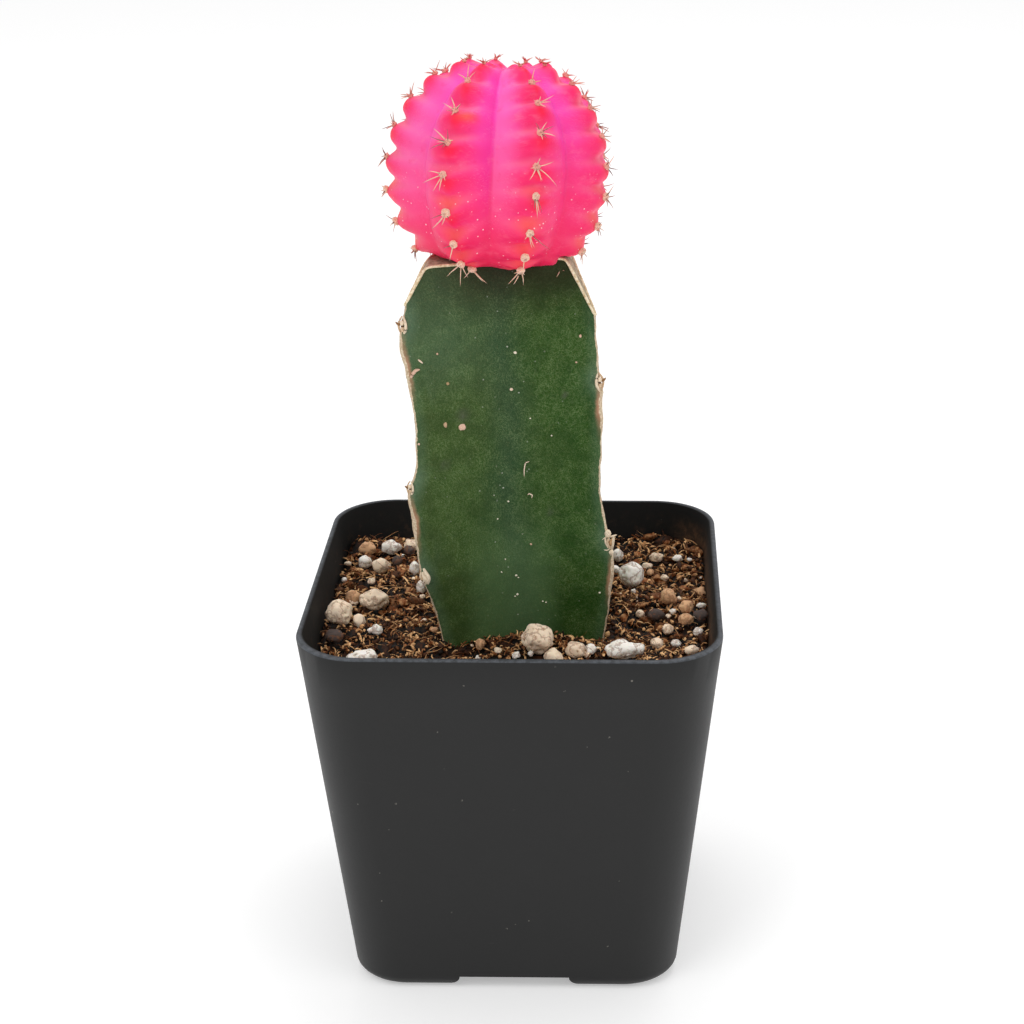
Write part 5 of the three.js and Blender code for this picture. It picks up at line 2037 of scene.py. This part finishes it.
@dataclass(frozen=True)
class PotPlastic:
    """The pot's matt charcoal plastic, with a painted highlight along the lip and painted shade inside, and
    soil dust in it.
    """

    base: str = "0b0b0b"
    worn: str = "191919"
    inside: str = "030302"
    dust: str = "5a3f29"
    lip_highlight: str = "50545a"
    scuff: str = "5d5c5a"
    speck: str = "a09a90"

    def build(self) -> Material:
        """Return the material."""
        graph = Graph("pot_plastic", Specular_IOR_Level=0.38)
        x, _, z = graph.axes()
        cloud, fine = graph.grain(14, 4, 0.6), graph.grain(0.5, 4, 0.6)
        inner = graph.attributes("inner")[0]
        smears = graph.grain(1.4, 5, 0.75).step(0.4, 0.62)
        film = graph.grain(2.2, 5, 0.7).step(0.5, 0.7) * 0.35 + x.step(24.0, 29.0) * (0.35 + 1.0 * smears)
        nicks = graph.grain(0.9, 4, 0.7).step(0.35, 0.65)
        # front and sides: a painted highlight along the rim's rounded outer edge, brighter at nicks
        front = z.step(61.1, 61.3) * z.step(61.8, 61.65)
        sides = z.step(61.1, 61.4) * (x * x).step(560.0, 880.0) * 0.8
        lip_highlight = (front + sides).step(0.0, 1.0) * (1 - inner)
        scuffs = graph.grain(1.6, 5, 0.75, (3, 3, 0.6)).step(0.66, 0.78)
        specks = graph.cells(3.4).step(0.07, 0.03) * fine.step(0.5, 0.6)
        colour = graph.coats(
            self.base,
            (cloud.step(0.3, 0.8) * 0.35, self.worn),
            # painted shade on the inner walls
            (inner, self.inside),
            (inner * z.step(60.5, 56.0) * film * 0.7, self.dust),
            (lip_highlight * (0.4 + 0.6 * nicks), self.lip_highlight),
            (scuffs * 0.08, self.scuff),
            (specks * 0.5, self.speck),
        )
        return graph.finish(colour, 0.4 + 0.12 * cloud + 0.08 * fine + 0.25 * inner, fine, 0.03, 0.3)


@dataclass(frozen=True)
class Soil:
    """The mix's bark and coir, from near black over red brown to fresh pale orange, with painted glints on
    raised edges.
    """

    black: str = "080401"
    brown: str = "48240b"
    red: str = "8c4a1b"
    fresh_and_glint: str = "ffcd92"

    def build(self) -> Material:
        """Return the material."""
        graph = Graph("potting_mix", Specular_IOR_Level=0.25)
        tone, lit = graph.attributes("tone", "lit")
        fine, fibre = graph.grain(0.5, 5, 0.7), graph.grain(0.9, 4, 0.7, (0.5, 2.5, 1))
        share = tone * 0.85 + (fine - 0.5) * 0.6 + 0.06
        stops = (0.13, self.black), (0.36, self.brown), (0.6, self.red), (0.91, self.fresh_and_glint)
        colour = graph.ramp(share, *stops)
        # edge: painted glints along the raised edges of the pieces
        edge = lit * fibre.step(0.42, 0.6) * tone.step(0.25, 0.8)
        colour = graph.coats(colour, (edge * 0.75, self.fresh_and_glint))
        return graph.finish(colour, 0.5 + 0.35 * fine, fine * 0.5 + fibre * 0.5, 0.2, 0.9)


@dataclass(frozen=True)
class Stone:
    """The grit's pitted stone."""

    kind: Rock
    stain: str = "a06c40"
    crack: str = "86573a"
    soil: str = "4a2c18"

    def build(self) -> Material:
        """Return the material."""
        slot, light, dark = self.kind.value
        graph = Graph(slot, Subsurface_Weight=0.05, Subsurface_Scale=0.0005)
        pit = graph.attributes("pit")[0]
        cloud, fine = graph.grain(1.6, 4, 0.6), graph.grain(0.3, 5, 0.7)
        share = pit * 0.6 + (cloud - 0.5) * 0.8 + (fine - 0.5) * 0.3
        vein = (graph.grain(2.4, 3, 0.6) - 0.5) * 24
        crack = 1 - (vein * vein).step(0.0, 1.0)
        colour = graph.coats(
            light,
            (share.step(0.15, 0.95), dark),
            (graph.grain(1.1, 4).step(0.58, 0.7) * 0.4, self.stain),
            (crack * 0.5, self.crack),
            (pit.step(0.6, 0.9) * fine.step(0.4, 0.6) * 0.75, self.soil),
        )
        return graph.finish(colour, 0.8 + 0.12 * fine, fine * 0.6 - crack * 0.4 + 0.4, 0.12, 0.6)


# Studio


@dataclass
class Studio:
    """The white floor, the soft light and the picture's viewpoint."""

    eye: tuple[float, float, float] = (19.057, -333.004, 206.291)
    pitch: float = 68.079
    turn: float = 0.8136
    lens: float = 79.15
    shift_x: float = -0.0917
    nearest: float = 0.01
    aim: tuple[float, float, float] = (0, 0, 0.08)
    floor_half: float = 2.5
    floor_grey: float = 0.76
    floor_glow: float = 0.36
    room_light: float = 0.7

    def build(self) -> None:
        """Set the scene up."""
        scene = bpy.context.scene
        scene.view_settings.view_transform = "Standard"
        self.floor()
        self.world(scene)
        self.lamp("key_lamp", (-0.35, -0.45, 0.75), 0.4, 1.5)
        self.lamp("fill_lamp", (0.6, -0.35, 0.5), 0.5, 0.8)
        self.lamp("top_lamp", (0.05, 0.25, 0.9), 0.5, 2.2)
        camera = show("camera", bpy.data.cameras.new("camera"))
        camera.location = Vector(self.eye) * MM
        camera.rotation_euler = (radians(self.pitch), 0, radians(self.turn))
        camera.data.lens = self.lens
        camera.data.shift_x = self.shift_x
        camera.data.clip_start = self.nearest
        scene.camera = camera

    def floor(self) -> None:
        """Lay the plain white floor."""
        mesh = bmesh.new()
        bmesh.ops.create_grid(mesh, x_segments=1, y_segments=1, size=self.floor_half)
        graph = Graph("floor_white", Roughness=0.9, Emission_Color=(1, 1, 1, 1))
        floor = show("floor", mesh_data("floor", mesh))
        grey = (self.floor_grey, self.floor_grey, self.floor_grey, 1)
        floor.data.materials.append(graph.dress(Base_Color=grey, Emission_Strength=self.floor_glow))

    def world(self, scene: bpy.types.Scene) -> None:
        """Fill the room with even white light."""
        scene.world = bpy.data.worlds.new("room")
        scene.world.use_nodes = True
        background = scene.world.node_tree.nodes["Background"]
        background.inputs["Color"].default_value = (1, 1, 1, 1)
        background.inputs["Strength"].default_value = self.room_light

    def lamp(self, name: str, place: tuple[float, float, float], size: float, power: float) -> None:
        """Hang one soft square lamp that faces the plant."""
        light = bpy.data.lights.new(name, "AREA")
        light.size = size
        light.energy = power
        lamp = show(name, light)
        lamp.location = place
        lamp.rotation_euler = (Vector(self.aim) - Vector(place)).to_track_quat("-Z", "Y").to_euler()


def main() -> None:
    """Build the plant and set it up for its picture."""
    logging.basicConfig(level=logging.INFO, format="%(message)s")
    stem = StemShape()
    pot = NurseryPot()
    Scion(BallShape(), stem).build()
    Rootstock(stem).build()
    pot.build()
    grit = Grit()
    mix = PottingMix(stem, pot, grit.footprints())
    mix.build()
    grit.build(mix)
    Studio().build()


if __name__ == "__main__":
    main()
